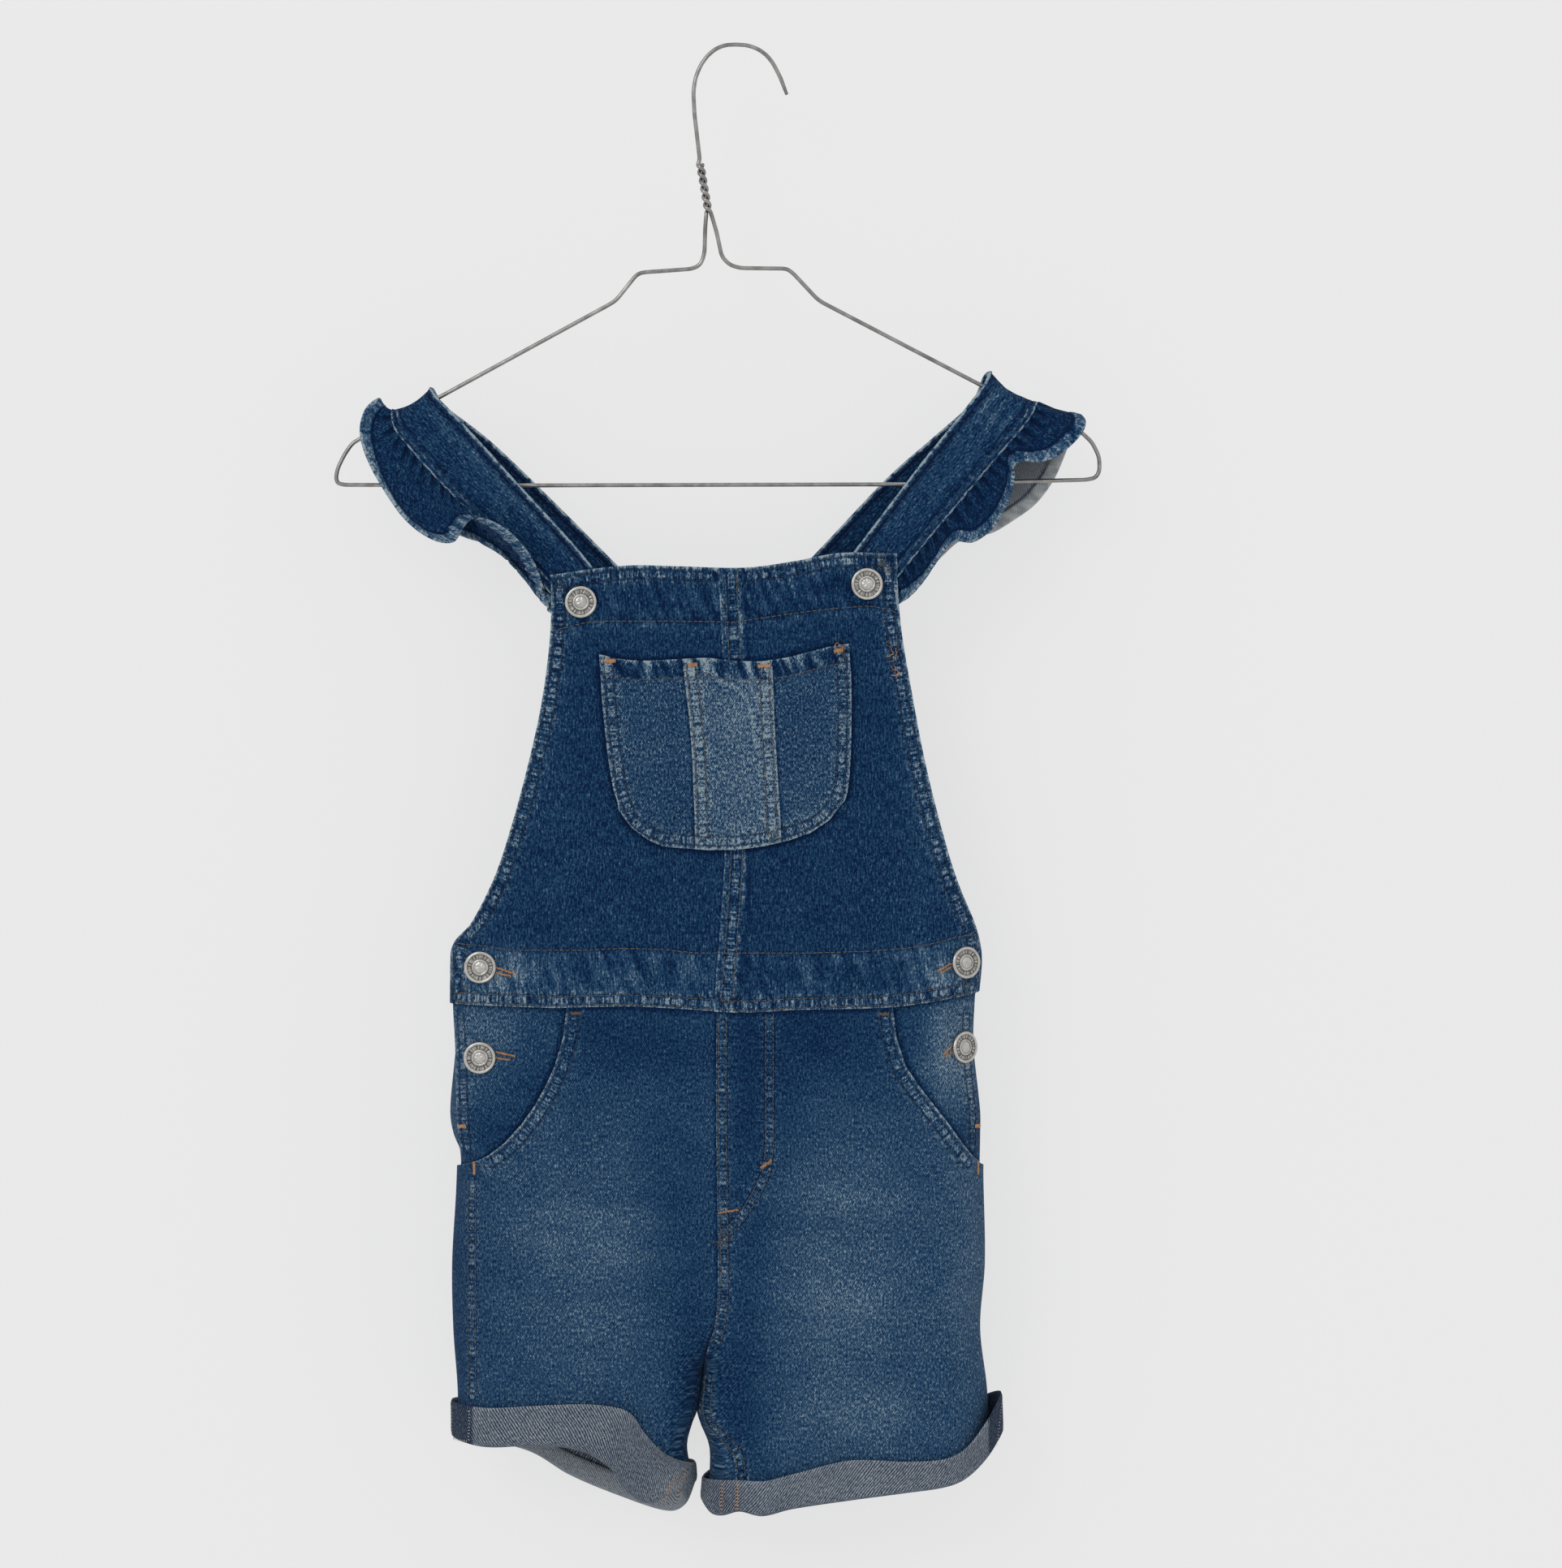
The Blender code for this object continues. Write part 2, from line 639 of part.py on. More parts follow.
def add_back_bib():
    outer, inner = [], []
    for t in even(10):
        flare = t**1.6
        left = mix(BACK_BIB_LEFT, BACK_WAIST_LEFT, flare)
        right = mix(BACK_BIB_RIGHT, BACK_WAIST_RIGHT, flare)
        z = mix(BACK_BIB_TOP, BACK_WAIST_TOP + SEAM, t)
        depth = mix(15.6, look_up(BODY, BACK_WAIST_TOP, 4, smooth=True), t**2)
        places = [mix(left, right, s) for s in even(12)]
        outer.append([Vector((x, depth, z)) for x in places])
        inner.append([Vector((x, depth - WALL, z)) for x in places])
    add_wall("back_bib", outer, inner, ("denim", *DENIM))


def strap_point(side, share, across):
    """A point of the strap's middle: across is 0 at its inner edge and 1 at its outer edge."""
    y, x1, z1, x2, z2 = (look_up(STRAPS[side], share, column, smooth=True) for column in range(1, 6))
    near = math.exp(-(((share - 0.5) / 0.028) ** 2))
    at_inner, at_outer = STRAP_CURL[side]
    curl = near * (at_inner * clamp(1 - 2 * across) ** 2 + at_outer * clamp(2 * across - 1) ** 2)
    return Vector((mix(x1, x2, across), y, mix(z1, z2, across) + curl))


def strip_normal(place, share, across):
    """The normal of a strip given by a function of two shares."""
    step = 0.002
    along = place(min(share + step, 1), across) - place(max(share - step, 0), across)
    over = place(share, min(across + 0.05, 1)) - place(share, max(across - 0.05, 0))
    return along.cross(over).normalized()


def add_straps():
    for side, name in ((LEFT, "left"), (RIGHT, "right")):
        shares = [0, 0.04, 0.1, 0.16, 0.22, 0.28, 0.33, 0.38, 0.42, 0.445, 0.46, 0.475, 0.4875]
        shares += [0.5] + [1 - share for share in reversed(shares)]
        outer, inner = [], []
        for share in shares:
            outer.append([])
            inner.append([])
            for across in even(5):
                middle = strap_point(side, share, across)
                normal = strip_normal(lambda a, b: strap_point(side, a, b), share, across)
                outer[-1].append(middle + normal * STRAP_WALL / 2)
                inner[-1].append(middle - normal * STRAP_WALL / 2)
        add_wall(f"strap_{name}", outer, inner, ("denim", *DENIM))


def ruffle_point(side, share, across):
    """A point of the ruffle's middle: across is 0 at the strap and 1 at its hem."""
    edge = strap_point(side, share, 1)
    out = (edge - strap_point(side, share, 0.75)).normalized()
    seam = edge + out * (SEAM + 0.5)
    hem_x, hem_y, hem_z = (look_up(RUFFLES[side], share, column, smooth=True) for column in (1, 2, 3))
    hem_at = Vector((hem_x, hem_y, hem_z))
    reach = (hem_at - seam).length
    bow = out * reach * 0.35 * across * (1 - across) * 2
    return seam.lerp(hem_at, across) + bow


def add_ruffles():
    for side, name in ((LEFT, "left"), (RIGHT, "right")):
        first, last = RUFFLES[side][0][0], RUFFLES[side][-1][0]
        shares = [mix(first, last, s) for s in even(27) if not 0.33 < mix(first, last, s) < 0.545]
        shares = sorted(shares + [mix(0.335, 0.54, s) for s in even(22)])
        outer, inner = [], []
        for share in shares:
            outer.append([])
            inner.append([])
            for across in even(4):
                middle = ruffle_point(side, share, across)
                normal = strip_normal(lambda a, b: ruffle_point(side, a, b), share, across)
                outer[-1].append(middle + normal * RUFFLE_WALL / 2)
                inner[-1].append(middle - normal * RUFFLE_WALL / 2)
        add_wall(f"ruffle_{name}", outer, inner, ("denim", *DENIM))


def add_cuffs():
    """The turned-up leg: a band outside the leg, its fold, and a lip inside, with the leg's edge in the fold."""
    for side, name, lip in ((LEFT, "left", WALL + 0.6), (RIGHT, "right", WALL + 1.8)):
        outer, inner = [], []
        for part in range(8):
            outer.append([])
            inner.append([])
            for i in range(32):
                share, crease = 2 * i / 32, -750
                for _ in range(4):
                    face, x = round_at(side, share, crease + HEM_LIFT)
                    top, crease, off = (look_up(CUFFS[side, face], x, column, smooth=True) for column in (1, 2, 3))
                # Columns: inset and z of the cuff's outer face, then of its inner one
                profile = (
                    (-off - WALL, top, -off, top),
                    (-off - WALL, (top + crease) / 2, -off, (top + crease) / 2),
                    (-off - WALL, crease + 4, -off, crease + 4),
                    (-off - WALL * 0.4, crease + 1.1, 0.4 - off, crease + 2.1),
                    (lip - WALL - off / 2, crease, lip - WALL - off / 2, crease + WALL),
                    (lip + WALL * 0.5, crease + 1.1, lip - 0.4, crease + 2.1),
                    (lip + WALL, crease + 4, lip, crease + 4),
                    (lip + WALL, crease + HEM_LIFT + 4, lip, crease + HEM_LIFT + 4),
                )[part]
                for grid, inset, z in ((outer, *profile[:2]), (inner, *profile[2:])):
                    face, x = round_at(side, share, z)
                    grid[-1].append(skin(side, face, x, z, inset))
        add_wall(f"cuff_{name}", outer, inner, ("cuff_denim", *CUFF_DENIM), ring=True)


def add_pocket():
    bounds = (("left", 1, 2), ("centre", 2, 3), ("right", 3, 4))
    for name, first, last in bounds:
        outer, inner = [], []
        for t in even(8):
            outer.append([])
            inner.append([])
            for s in even(6):
                z = -370
                for _ in range(8):
                    start = look_up(POCKET, z, first, smooth=True) + (SEAM / 2 if first > 1 else 0)
                    end = look_up(POCKET, z, last, smooth=True) - (SEAM / 2 if last < 4 else 0)
                    x = mix(start, end, s)
                    z = mix(look_up(POCKET_ENDS, x, 1), look_up(POCKET_ENDS, x, 2), t)
                base = skin(LEFT if x < -6 else RIGHT, FRONT, x, z)
                outer[-1].append(base + Vector((0, -0.4 - WALL, 0)))
                inner[-1].append(base + Vector((0, -0.4, 0)))
        add_wall(f"bib_pocket_{name}", outer, inner, ("worn_denim", *WORN_DENIM))


def add_buttons():
    for name, x, z, layer in BUTTONS:
        side = LEFT if x < 0 else RIGHT
        base = skin(side, FRONT, x, z, layer * LAYER)
        axis = (skin(side, FRONT, x, z, -1) - skin(side, FRONT, x, z)).normalized()
        across = axis.cross(Vector((0, 0, 1))).normalized()
        up = across.cross(axis)
        count, points, faces = 16, [], []
        for radius, height in BUTTON_PROFILE:
            for i in range(count):
                turn = 2 * math.pi * i / count
                way = math.cos(turn) * across + math.sin(turn) * up
                points.append(base + axis * height + way * radius * BUTTON_RADIUS)
        for row in range(len(BUTTON_PROFILE) - 1):
            for i in range(count):
                j = (i + 1) % count
                a, b = row * count, (row + 1) * count
                faces.append([a + i, a + j, b + j, b + i])
        faces.append(list(range(count))[::-1])
        faces.append([len(points) - count + i for i in range(count)])
        add_mesh(name, points, faces, ("button_metal", *BUTTON_METAL))


clear_scene()
shortalls = bpy.data.collections.new("shortalls")
bpy.context.scene.collection.children.link(shortalls)
add_hanger()
add_fronts()
add_backs()
add_back_waist()
add_back_bib()
add_straps()
add_ruffles()
add_cuffs()
add_pocket()
add_buttons()
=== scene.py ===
# Child's denim shortalls with ruffled straps on a twisted wire hanger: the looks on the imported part.
# Lengths are in millimetres until a mesh is made. X right, Y away from the front, Z up.

import math

import bpy
import numpy as np
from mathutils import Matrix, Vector


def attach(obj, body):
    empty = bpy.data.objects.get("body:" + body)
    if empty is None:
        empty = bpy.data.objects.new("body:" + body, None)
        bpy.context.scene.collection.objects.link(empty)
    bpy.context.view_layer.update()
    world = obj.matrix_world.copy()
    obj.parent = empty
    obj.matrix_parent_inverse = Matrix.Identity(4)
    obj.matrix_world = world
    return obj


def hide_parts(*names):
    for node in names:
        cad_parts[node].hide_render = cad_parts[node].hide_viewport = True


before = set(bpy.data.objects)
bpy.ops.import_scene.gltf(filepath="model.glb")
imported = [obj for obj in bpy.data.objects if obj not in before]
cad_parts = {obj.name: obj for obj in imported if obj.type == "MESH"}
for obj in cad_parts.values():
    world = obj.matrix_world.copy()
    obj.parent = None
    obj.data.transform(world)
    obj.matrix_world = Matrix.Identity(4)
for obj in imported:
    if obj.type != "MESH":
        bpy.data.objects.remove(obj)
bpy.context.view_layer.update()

mm = 0.001
left, right = -1, 1
front, back = -1, 1

# The cut, as in the part's source
cut = {
    "wall": 1.3,
    "strapWall": 2.2,
    "ruffleWall": 1.2,
    "seam": -0.8,  # two pieces meet in a crease, each a little over the line
    "thinnest": 0.15,
    "layer": 2.1,  # from one layer's face to the next one's
    "lap": 14,
    "pocketLap": 12,
    "crotchTop": -640,
    "crotch": -700,
    "sideSeamTop": -596,  # the buttoned openings end here
    "hemLift": 9,
    "waistGap": -0.4,
}

# z, left edge, right edge, front panel's left edge, half depth, how far each side is turned back
body = [
    (-262, -98.5, 85.0, -98.5, 12.2, 0.0, 0.0),
    (-305, -97.4, 87.1, -97.4, 12.4, 0.0, 0.0),
    (-345, -101.7, 93.5, -101.7, 13.0, 0.0, 0.0),
    (-385, -110.3, 101.3, -110.3, 14.0, 0.0, 0.0),
    (-425, -121.5, 111.6, -121.5, 15.2, 0.0, 0.0),
    (-445, -128.9, 118.1, -128.9, 16.0, 0.1, 0.25),
    (-465, -140.0, 126.7, -139.2, 17.2, 0.5, 0.75),
    (-475, -150.6, 129.7, -148.6, 18.0, 0.9, 0.95),
    (-485, -153.4, 130.8, -150.3, 18.4, 1.0, 1.0),
    (-507, -153.0, 129.0, -151.2, 19.0, 1.0, 1.0),
    (-530, -152.6, 128.4, -149.8, 20.5, 1.0, 1.0),
    (-565, -155.6, 131.9, -148.2, 22.5, 1.0, 1.0),
    (-577, -154.0, 131.9, -147.5, 23.0, 1.0, 1.0),
    (-588, -149.6, 131.7, -146.8, 23.3, 1.0, 1.0),
    (-598, -148.0, 131.5, -147.4, 23.6, 1.0, 1.0),
    (-645, -150.4, 132.3, -149.8, 24.0, 1.0, 1.0),
    (-680, -149.8, 129.8, -149.2, 23.6, 1.0, 1.0),
    (-715, -147.4, 133.6, -146.8, 23.0, 1.0, 1.0),
    (-785, -147.0, 134.5, -146.4, 24.0, 1.0, 1.0),
]
# z, width of the turn at the left side, at the right side
turns = [(-440, 14, 26), (-520, 15, 26), (-620, 24, 27), (-785, 26, 28)]
# z, left piece's inner edge, right piece's inner edge, right leg's inseam
centre = [
    (-262, -8.5, -8.5, -8.5), (-330, -5, -5, -5), (-425, -4, -4, -4), (-475, -7, -7, -7),
    (-510, -9.5, -9.5, -9.5), (-560, -10, -10, -10), (-650, -9, -9, -9), (-675, -10.5, -10.5, -10.5),
    (-690, -14.7, -14.7, -14.7), (-700, -17.2, -16.8, -16.8), (-715, -18.9, -18.5, -18.2),
    (-724, -20.6, -20.2, -18.2), (-730, -23, -18.6, -16), (-742, -26, -13.8, -3), (-755, -24.5, -13.4, 0), (-785, -23.5, -16, 1),
]
# x, bib's top edge, seam under the waist
topAndWaist = [
    (-155, -283, -507), (-98, -281, -509.2), (-80, -278.5, -509), (-55, -276, -508.6), (-30, -276.5, -509.8),
    (5, -277.2, -511.8), (30, -274, -510.5), (55, -269.5, -510), (84, -269.7, -508.8), (110, -270, -505),
    (132, -270, -501),
]
# x, the back's seam under the waist
backWaist = [(-158, -504.8), (-80, -508.5), (-10, -510), (60, -506.5), (134, -498.6)]
# z, left front pocket's opening, right one's
sidePocket = [
    (-505, -88.3, 82.6), (-525, -90.6, 84.8), (-540, -95, 89.8), (-550, -99.5, 96.5), (-560, -105, 104.3),
    (-570, -112, 112.3), (-580, -121, 119.5), (-587, -130, 125), (-590, -137, 128), (-593, -147.2, 131.0),
]
# x, top of the turned-up cuff, its fold, how far it stands off the leg
cuffs = {
    (left, front): [
        (-147, -718, -738, 2.6), (-130, -719, -740, 2.2), (-100, -717.5, -739, 2.0), (-80, -717, -742, 2.2),
        (-68, -718.5, -749, 3.0), (-58, -722, -762, 3.2), (-47, -733, -769, 3.0), (-36, -744, -766, 2.6),
        (-24, -751, -762, 2.2),
    ],
    (left, back): [
        (-147, -718, -738, 2.6), (-130, -722, -744, 2.2), (-110, -728, -750, 2.2), (-90, -739, -762, 2.2),
        (-60, -749, -774.5, 2.6), (-38, -753, -781, 2.8), (-29, -752, -777, 2.6), (-24, -751, -762, 2.2),
    ],
    (right, front): [
        (-15, -759, -771, 2.6), (-9, -758, -777, 2.6), (3, -757, -774, 2.2), (15, -757, -776, 3.2),
        (30, -753.5, -772.5, 2.4), (60, -746.5, -768, 2.2), (90, -747, -764, 2.2), (110, -745.5, -761, 2.6),
        (120, -740, -757, 3.4), (128, -728, -748, 5.0), (134, -714, -736, 6.6),
    ],
    (right, back): [
        (-15, -759, -771, 2.6), (0, -752, -772, 2.4), (60, -742, -764, 2.2), (110, -732, -754, 3.0),
        (134, -714, -736, 6.6),
    ],
}
# face, x1, z1, x2, z2, half width, height: the first ten are the part's own folds
folds = [
    (front, -128, -622, -52, -634, 9, 1.3),
    (front, -120, -664, -40, -652, 10, 1.4),
    (front, 20, -604, 96, -618, 9, 1.2),
    (front, 14, -668, 104, -656, 11, 1.5),
    (front, -64, -560, -58, -720, 14, -1.6),
    (front, 58, -560, 62, -730, 16, -1.4),
    (front, -92, -440, -60, -490, 12, 1.0),
    (front, 40, -440, 70, -490, 12, 1.0),
    (back, -110, -600, -30, -640, 14, 1.8),
    (back, 100, -600, 20, -640, 14, 1.8),
]


def curveOf(rows, column, smooth=True):
    # One column of a table as a curve over its first column
    rows = sorted(rows)
    keys = np.array([row[0] for row in rows], float)
    values = np.array([row[column] for row in rows], float)
    slopes = np.diff(values) / np.diff(keys)
    middle = (values[2:] - values[:-2]) / (keys[2:] - keys[:-2])
    slopes = np.concatenate([slopes[:1], middle, slopes[-1:]])

    def read(key):
        key = np.clip(key, keys[0], keys[-1])
        i = np.clip(np.searchsorted(keys, key) - 1, 0, len(keys) - 2)
        step = keys[i + 1] - keys[i]
        t = (key - keys[i]) / step
        if not smooth:
            return values[i] + (values[i + 1] - values[i]) * t
        low = (2 * t**3 - 3 * t**2 + 1) * values[i] + (t**3 - 2 * t**2 + t) * slopes[i] * step
        return low + (3 * t**2 - 2 * t**3) * values[i + 1] + (t**3 - t**2) * slopes[i + 1] * step

    return read


outerEdge = {left: curveOf(body, 1), right: curveOf(body, 2)}
innerEdge = {left: curveOf(centre, 1), right: curveOf(centre, 2)}
bodyDepth = curveOf(body, 4)
turnWidth = {left: curveOf(turns, 1, False), right: curveOf(turns, 2, False)}
turnedShare = {left: curveOf(body, 5, False), right: curveOf(body, 6, False)}
bibTop, waistSeam = curveOf(topAndWaist, 1), curveOf(topAndWaist, 2)
backWaistSeam = curveOf(backWaist, 1)
leftFrontEdge = curveOf(body, 3)
inseam = curveOf(centre, 3)
pocketMouth = {left: curveOf(sidePocket, 1, False), right: curveOf(sidePocket, 2, False)}
cuffCurves = {key: [curveOf(rows, column) for column in (1, 2, 3)] for key, rows in cuffs.items()}


def mix(a, b, share):
    return a + (b - a) * share


def clamp(value, low=0.0, high=1.0):
    return np.clip(value, low, high)


def stack(x, y, z):
    return np.stack(np.broadcast_arrays(x, y, z), -1).astype(float)


def unit(vectors):
    return vectors / np.maximum(np.linalg.norm(vectors, axis=-1, keepdims=True), 1e-9)


def ease(value):
    value = clamp(value)
    return value * value * (3 - 2 * value)


def foldOut(face, x, z):
    # How far the cloth stands out at a place
    out = np.zeros(np.broadcast(x, z).shape)
    for which, x1, z1, x2, z2, half, height in folds:
        dx, dz = x2 - x1, z2 - z1
        share = clamp(((x - x1) * dx + (z - z1) * dz) / (dx * dx + dz * dz))
        away = np.hypot(x - x1 - dx * share, z - z1 - dz * share) / half
        out = out + np.where(face == which, height * np.exp(-away * away), 0)
    return out


def outerX(side, z):
    return outerEdge[side](z)


def innerX(side, z):
    return innerEdge[side](z) + side * cut["seam"] / 2


def skin(side, face, x, z, inset=0.0):
    # A point of one side's cloth at x and z, moved in by inset along the cloth's normal there
    face, x, z, inset = np.broadcast_arrays(face, np.asarray(x, float), np.asarray(z, float), inset)
    depth, turn, turned = bodyDepth(z), turnWidth[side](z), turnedShare[side](z)
    turnedIn = clamp((cut["crotchTop"] - z) / (cut["crotchTop"] - cut["crotch"]))
    fromOutside = clamp(1 - np.abs(outerX(side, z) - x) / turn) * turned
    fromInside = clamp(1 - np.abs(x - innerX(side, z)) / turn) * turnedIn
    level = np.sqrt(1 - fromOutside**2) * np.sqrt(1 - fromInside**2)
    lean = side * depth / turn * (fromOutside * turned - fromInside * turnedIn)
    normal = unit(stack(lean, face * level, 0))
    y = face * np.maximum((depth + foldOut(face, x, z)) * level, cut["thinnest"])
    point = stack(x, y, z) - inset[..., None] * normal
    thin = np.abs(y) <= 1
    point[..., 1] = np.where(thin, face * np.maximum(face * point[..., 1], cut["thinnest"]), point[..., 1])
    return point


def roundAt(side, share, z):
    # Face and x at a share of the way round: 0 to 1 is the front from outside in, 1 to 2 the back
    share = np.mod(share, 2)
    face = np.where(share < 1, front, back)
    return face, mix(outerX(side, z), innerX(side, z), (1 - np.cos(np.pi * share)) / 2)


def shareAt(side, x, z):
    start, end = outerX(side, z), innerX(side, z)
    return np.arccos(1 - 2 * clamp((x - start) / (end - start))) / np.pi


def sideEdge(side, z):
    return leftFrontEdge(z) if side == left else outerX(side, z) - 0.4


def frontStart(side, z):
    return shareAt(side, sideEdge(side, z) - side * cut["seam"] / 2, z)


def seamEnd(side, z):
    lap = mix(-cut["seam"] / 2, cut["lap"], clamp((z - cut["sideSeamTop"] + 6) / 8))
    return 2 + shareAt(side, sideEdge(side, z) - side * lap, z)


def atInseam(side, z, face):
    # Share where a front or a back panel ends at the inseam, or at the centre seam above it
    share = shareAt(side, inseam(z), z)
    width = np.abs(outerX(side, z) - innerX(side, z))
    moved = share + face * cut["seam"] / width / np.pi / np.maximum(np.sin(np.pi * share), 0.06)
    return np.where((z > cut["crotch"]) | (share > 1 - 1e-9) | (side == left), 1 + face * 1e-6, clamp(moved, 0, 1 - 1e-6))


def hemOf(side, face, x):
    return np.where(face == front, cuffCurves[side, front][1](x), cuffCurves[side, back][1](x)) + cut["hemLift"]


# Shader nodes

def put(tree, kind, inputs=(), **settings):
    # One node with its settings; inputs maps a socket to a value or to another node's output
    made = tree.nodes.new(kind)
    for name, value in settings.items():
        setattr(made, name, value)
    for name, value in dict(inputs).items():
        if isinstance(value, bpy.types.NodeSocket):
            tree.links.new(value, made.inputs[name])
        else:
            made.inputs[name].default_value = value
    return made


def calc(tree, operation, a, b=0.0, c=0.0, limit=False):
    made = put(tree, "ShaderNodeMath", {0: a, 1: b, 2: c}, operation=operation, use_clamp=limit)
    return made.outputs[0]


def newGroup(name, inputs, outputs):
    group = bpy.data.node_groups.new(name, "ShaderNodeTree")
    kinds = {"value": "NodeSocketFloat", "vector": "NodeSocketVector", "colour": "NodeSocketColor"}
    for label, kind, start in inputs:
        socket = group.interface.new_socket(label, in_out="INPUT", socket_type=kinds[kind])
        if start is not None:
            socket.default_value = start
    for label, kind in outputs:
        group.interface.new_socket(label, in_out="OUTPUT", socket_type=kinds[kind])
    return group, group.nodes.new("NodeGroupInput"), group.nodes.new("NodeGroupOutput")


def makeWeave():
    # Diagonal twill, uneven threads along the cloth's length and small flecks, over the cloth's own u and v
    group, given, result = newGroup(
        "twillWeave",
        [("Cloth", "vector", None), ("Pitch", "value", 1.2), ("Lean", "value", 1.0), ("Twill", "value", 0.3),
         ("Slubs", "value", 0.4), ("Flecks", "value", 0.4)],
        [("Threads", "value"), ("Height", "value")],
    )
    parts = put(group, "ShaderNodeSeparateXYZ", {0: given.outputs["Cloth"]})
    u, v = parts.outputs[0], parts.outputs[1]
    wander = put(group, "ShaderNodeTexNoise", {"Vector": given.outputs["Cloth"], "Scale": 0.12, "Detail": 2.0})
    lean = calc(group, "MULTIPLY", u, given.outputs["Lean"])
    slope = calc(group, "ADD", calc(group, "ADD", lean, calc(group, "MULTIPLY", v, 0.62)),
                 calc(group, "MULTIPLY", wander.outputs[0], 1.6))
    ridge = calc(group, "SINE", calc(group, "DIVIDE", calc(group, "MULTIPLY", slope, 2 * math.pi), given.outputs["Pitch"]))
    long = put(group, "ShaderNodeCombineXYZ", {0: calc(group, "MULTIPLY", u, 1.25), 1: calc(group, "MULTIPLY", v, 0.20)})
    slubs = put(group, "ShaderNodeTexNoise", {"Vector": long.outputs[0], "Scale": 1.0, "Detail": 2.0, "Roughness": 0.6})
    short = put(group, "ShaderNodeCombineXYZ", {0: calc(group, "MULTIPLY", u, 0.98), 1: calc(group, "MULTIPLY", v, 0.58)})
    flecks = put(group, "ShaderNodeTexNoise", {"Vector": short.outputs[0], "Scale": 1.0, "Detail": 3.0, "Roughness": 0.8})
    total = calc(group, "MULTIPLY", ridge, given.outputs["Twill"])
    for noise, amount in ((slubs, "Slubs"), (flecks, "Flecks")):
        centred = calc(group, "MULTIPLY", calc(group, "SUBTRACT", noise.outputs[0], 0.5), 4.0)
        total = calc(group, "ADD", total, calc(group, "MULTIPLY", centred, given.outputs[amount]))
    group.links.new(total, result.inputs["Threads"])
    group.links.new(total, result.inputs["Height"])
    return group


def makeSeamWearAndShade():
    # Puckers across a row of stitching: pale worn crests where they stand up, darker in the dents, and painted shade in
    # the groove beside the thread
    group, given, result = newGroup(
        "seamWearAndShade",
        [("Band", "value", 30.0), ("Along", "value", 0.0), ("Rows", "value", 2.4), ("Reach", "value", 5.0),
         ("Step", "value", 2.5)],
        [("Pale", "value"), ("Dark", "value"), ("Height", "value")],
    )
    away = calc(group, "ABSOLUTE", given.outputs["Band"])
    near = calc(group, "EXPONENT", calc(group, "MULTIPLY", calc(group, "POWER", calc(group, "DIVIDE", away, given.outputs["Reach"]), 2.0), -1.0))
    place = put(group, "ShaderNodeCombineXYZ", {
        0: calc(group, "DIVIDE", given.outputs["Along"], given.outputs["Step"]),
        1: calc(group, "MULTIPLY", given.outputs["Band"], 0.20),
    })
    waves = put(group, "ShaderNodeTexNoise", {"Vector": place.outputs[0], "Scale": 1.6, "Detail": 2.5, "Roughness": 0.6})
    rope = calc(group, "MULTIPLY", calc(group, "SUBTRACT", waves.outputs[0], 0.5), 5.0)
    offRow = calc(group, "DIVIDE", calc(group, "SUBTRACT", away, given.outputs["Rows"]), 0.62)
    # Painted shade: the groove along the thread is darker in colour as well as sunk
    groove = calc(group, "EXPONENT", calc(group, "MULTIPLY", calc(group, "POWER", offRow, 2.0), -1.0))
    raised = put(group, "ShaderNodeMapRange", {0: waves.outputs[0], 1: 0.45, 2: 0.62}, interpolation_type="SMOOTHSTEP")
    sunk = put(group, "ShaderNodeMapRange", {0: waves.outputs[0], 1: 0.48, 2: 0.35}, interpolation_type="SMOOTHSTEP")
    pale = calc(group, "MULTIPLY", calc(group, "ADD", raised.outputs[0], 0.22), near)
    dark = calc(group, "MAXIMUM", calc(group, "MULTIPLY", sunk.outputs[0], near), calc(group, "MULTIPLY", groove, 0.8))
    height = calc(group, "SUBTRACT", calc(group, "MULTIPLY", rope, near), calc(group, "MULTIPLY", groove, 1.4))
    for value, name in ((pale, "Pale"), (dark, "Dark"), (height, "Height")):
        group.links.new(value, result.inputs[name])
    return group


def makeGatherFolds():
    # Small folds down the cloth where a band is drawn in by its stitching; their Tone follows their height, painted
    # light on the crests and painted shade in the troughs
    group, given, result = newGroup("gatherFolds", [("Cloth", "vector", None), ("Amount", "value", 0.0)],
                                    [("Tone", "value"), ("Height", "value")])
    parts = put(group, "ShaderNodeSeparateXYZ", {0: given.outputs["Cloth"]})
    leaning = calc(group, "ADD", parts.outputs[0], calc(group, "MULTIPLY", parts.outputs[1], 0.38))
    place = put(group, "ShaderNodeCombineXYZ", {0: calc(group, "MULTIPLY", leaning, 0.21),
                                                1: calc(group, "MULTIPLY", parts.outputs[1], 0.05)})
    waves = put(group, "ShaderNodeTexNoise", {"Vector": place.outputs[0], "Scale": 1.0, "Detail": 2.0, "Roughness": 0.5})
    height = calc(group, "MULTIPLY", calc(group, "SUBTRACT", waves.outputs[0], 0.5), 3.2)
    total = calc(group, "MULTIPLY", height, given.outputs["Amount"])
    group.links.new(total, result.inputs["Tone"])
    group.links.new(total, result.inputs["Height"])
    return group


weave, seamWearAndShade, gatherFolds = makeWeave(), makeSeamWearAndShade(), makeGatherFolds()

# Colours by how washed out the cloth is, from raw to bare
denimWash = [
    (0.0, (0.0008, 0.0085, 0.036)), (0.25, (0.0032, 0.0315, 0.089)), (0.5, (0.0205, 0.0570, 0.1135)),
    (0.75, (0.0640, 0.1160, 0.1820)), (1.0, (0.250, 0.318, 0.355)),
]
wrongSideWash = [
    (0.0, (0.008, 0.018, 0.042)), (0.35, (0.060, 0.078, 0.108)), (0.6, (0.118, 0.142, 0.176)), (1.0, (0.33, 0.36, 0.39)),
]


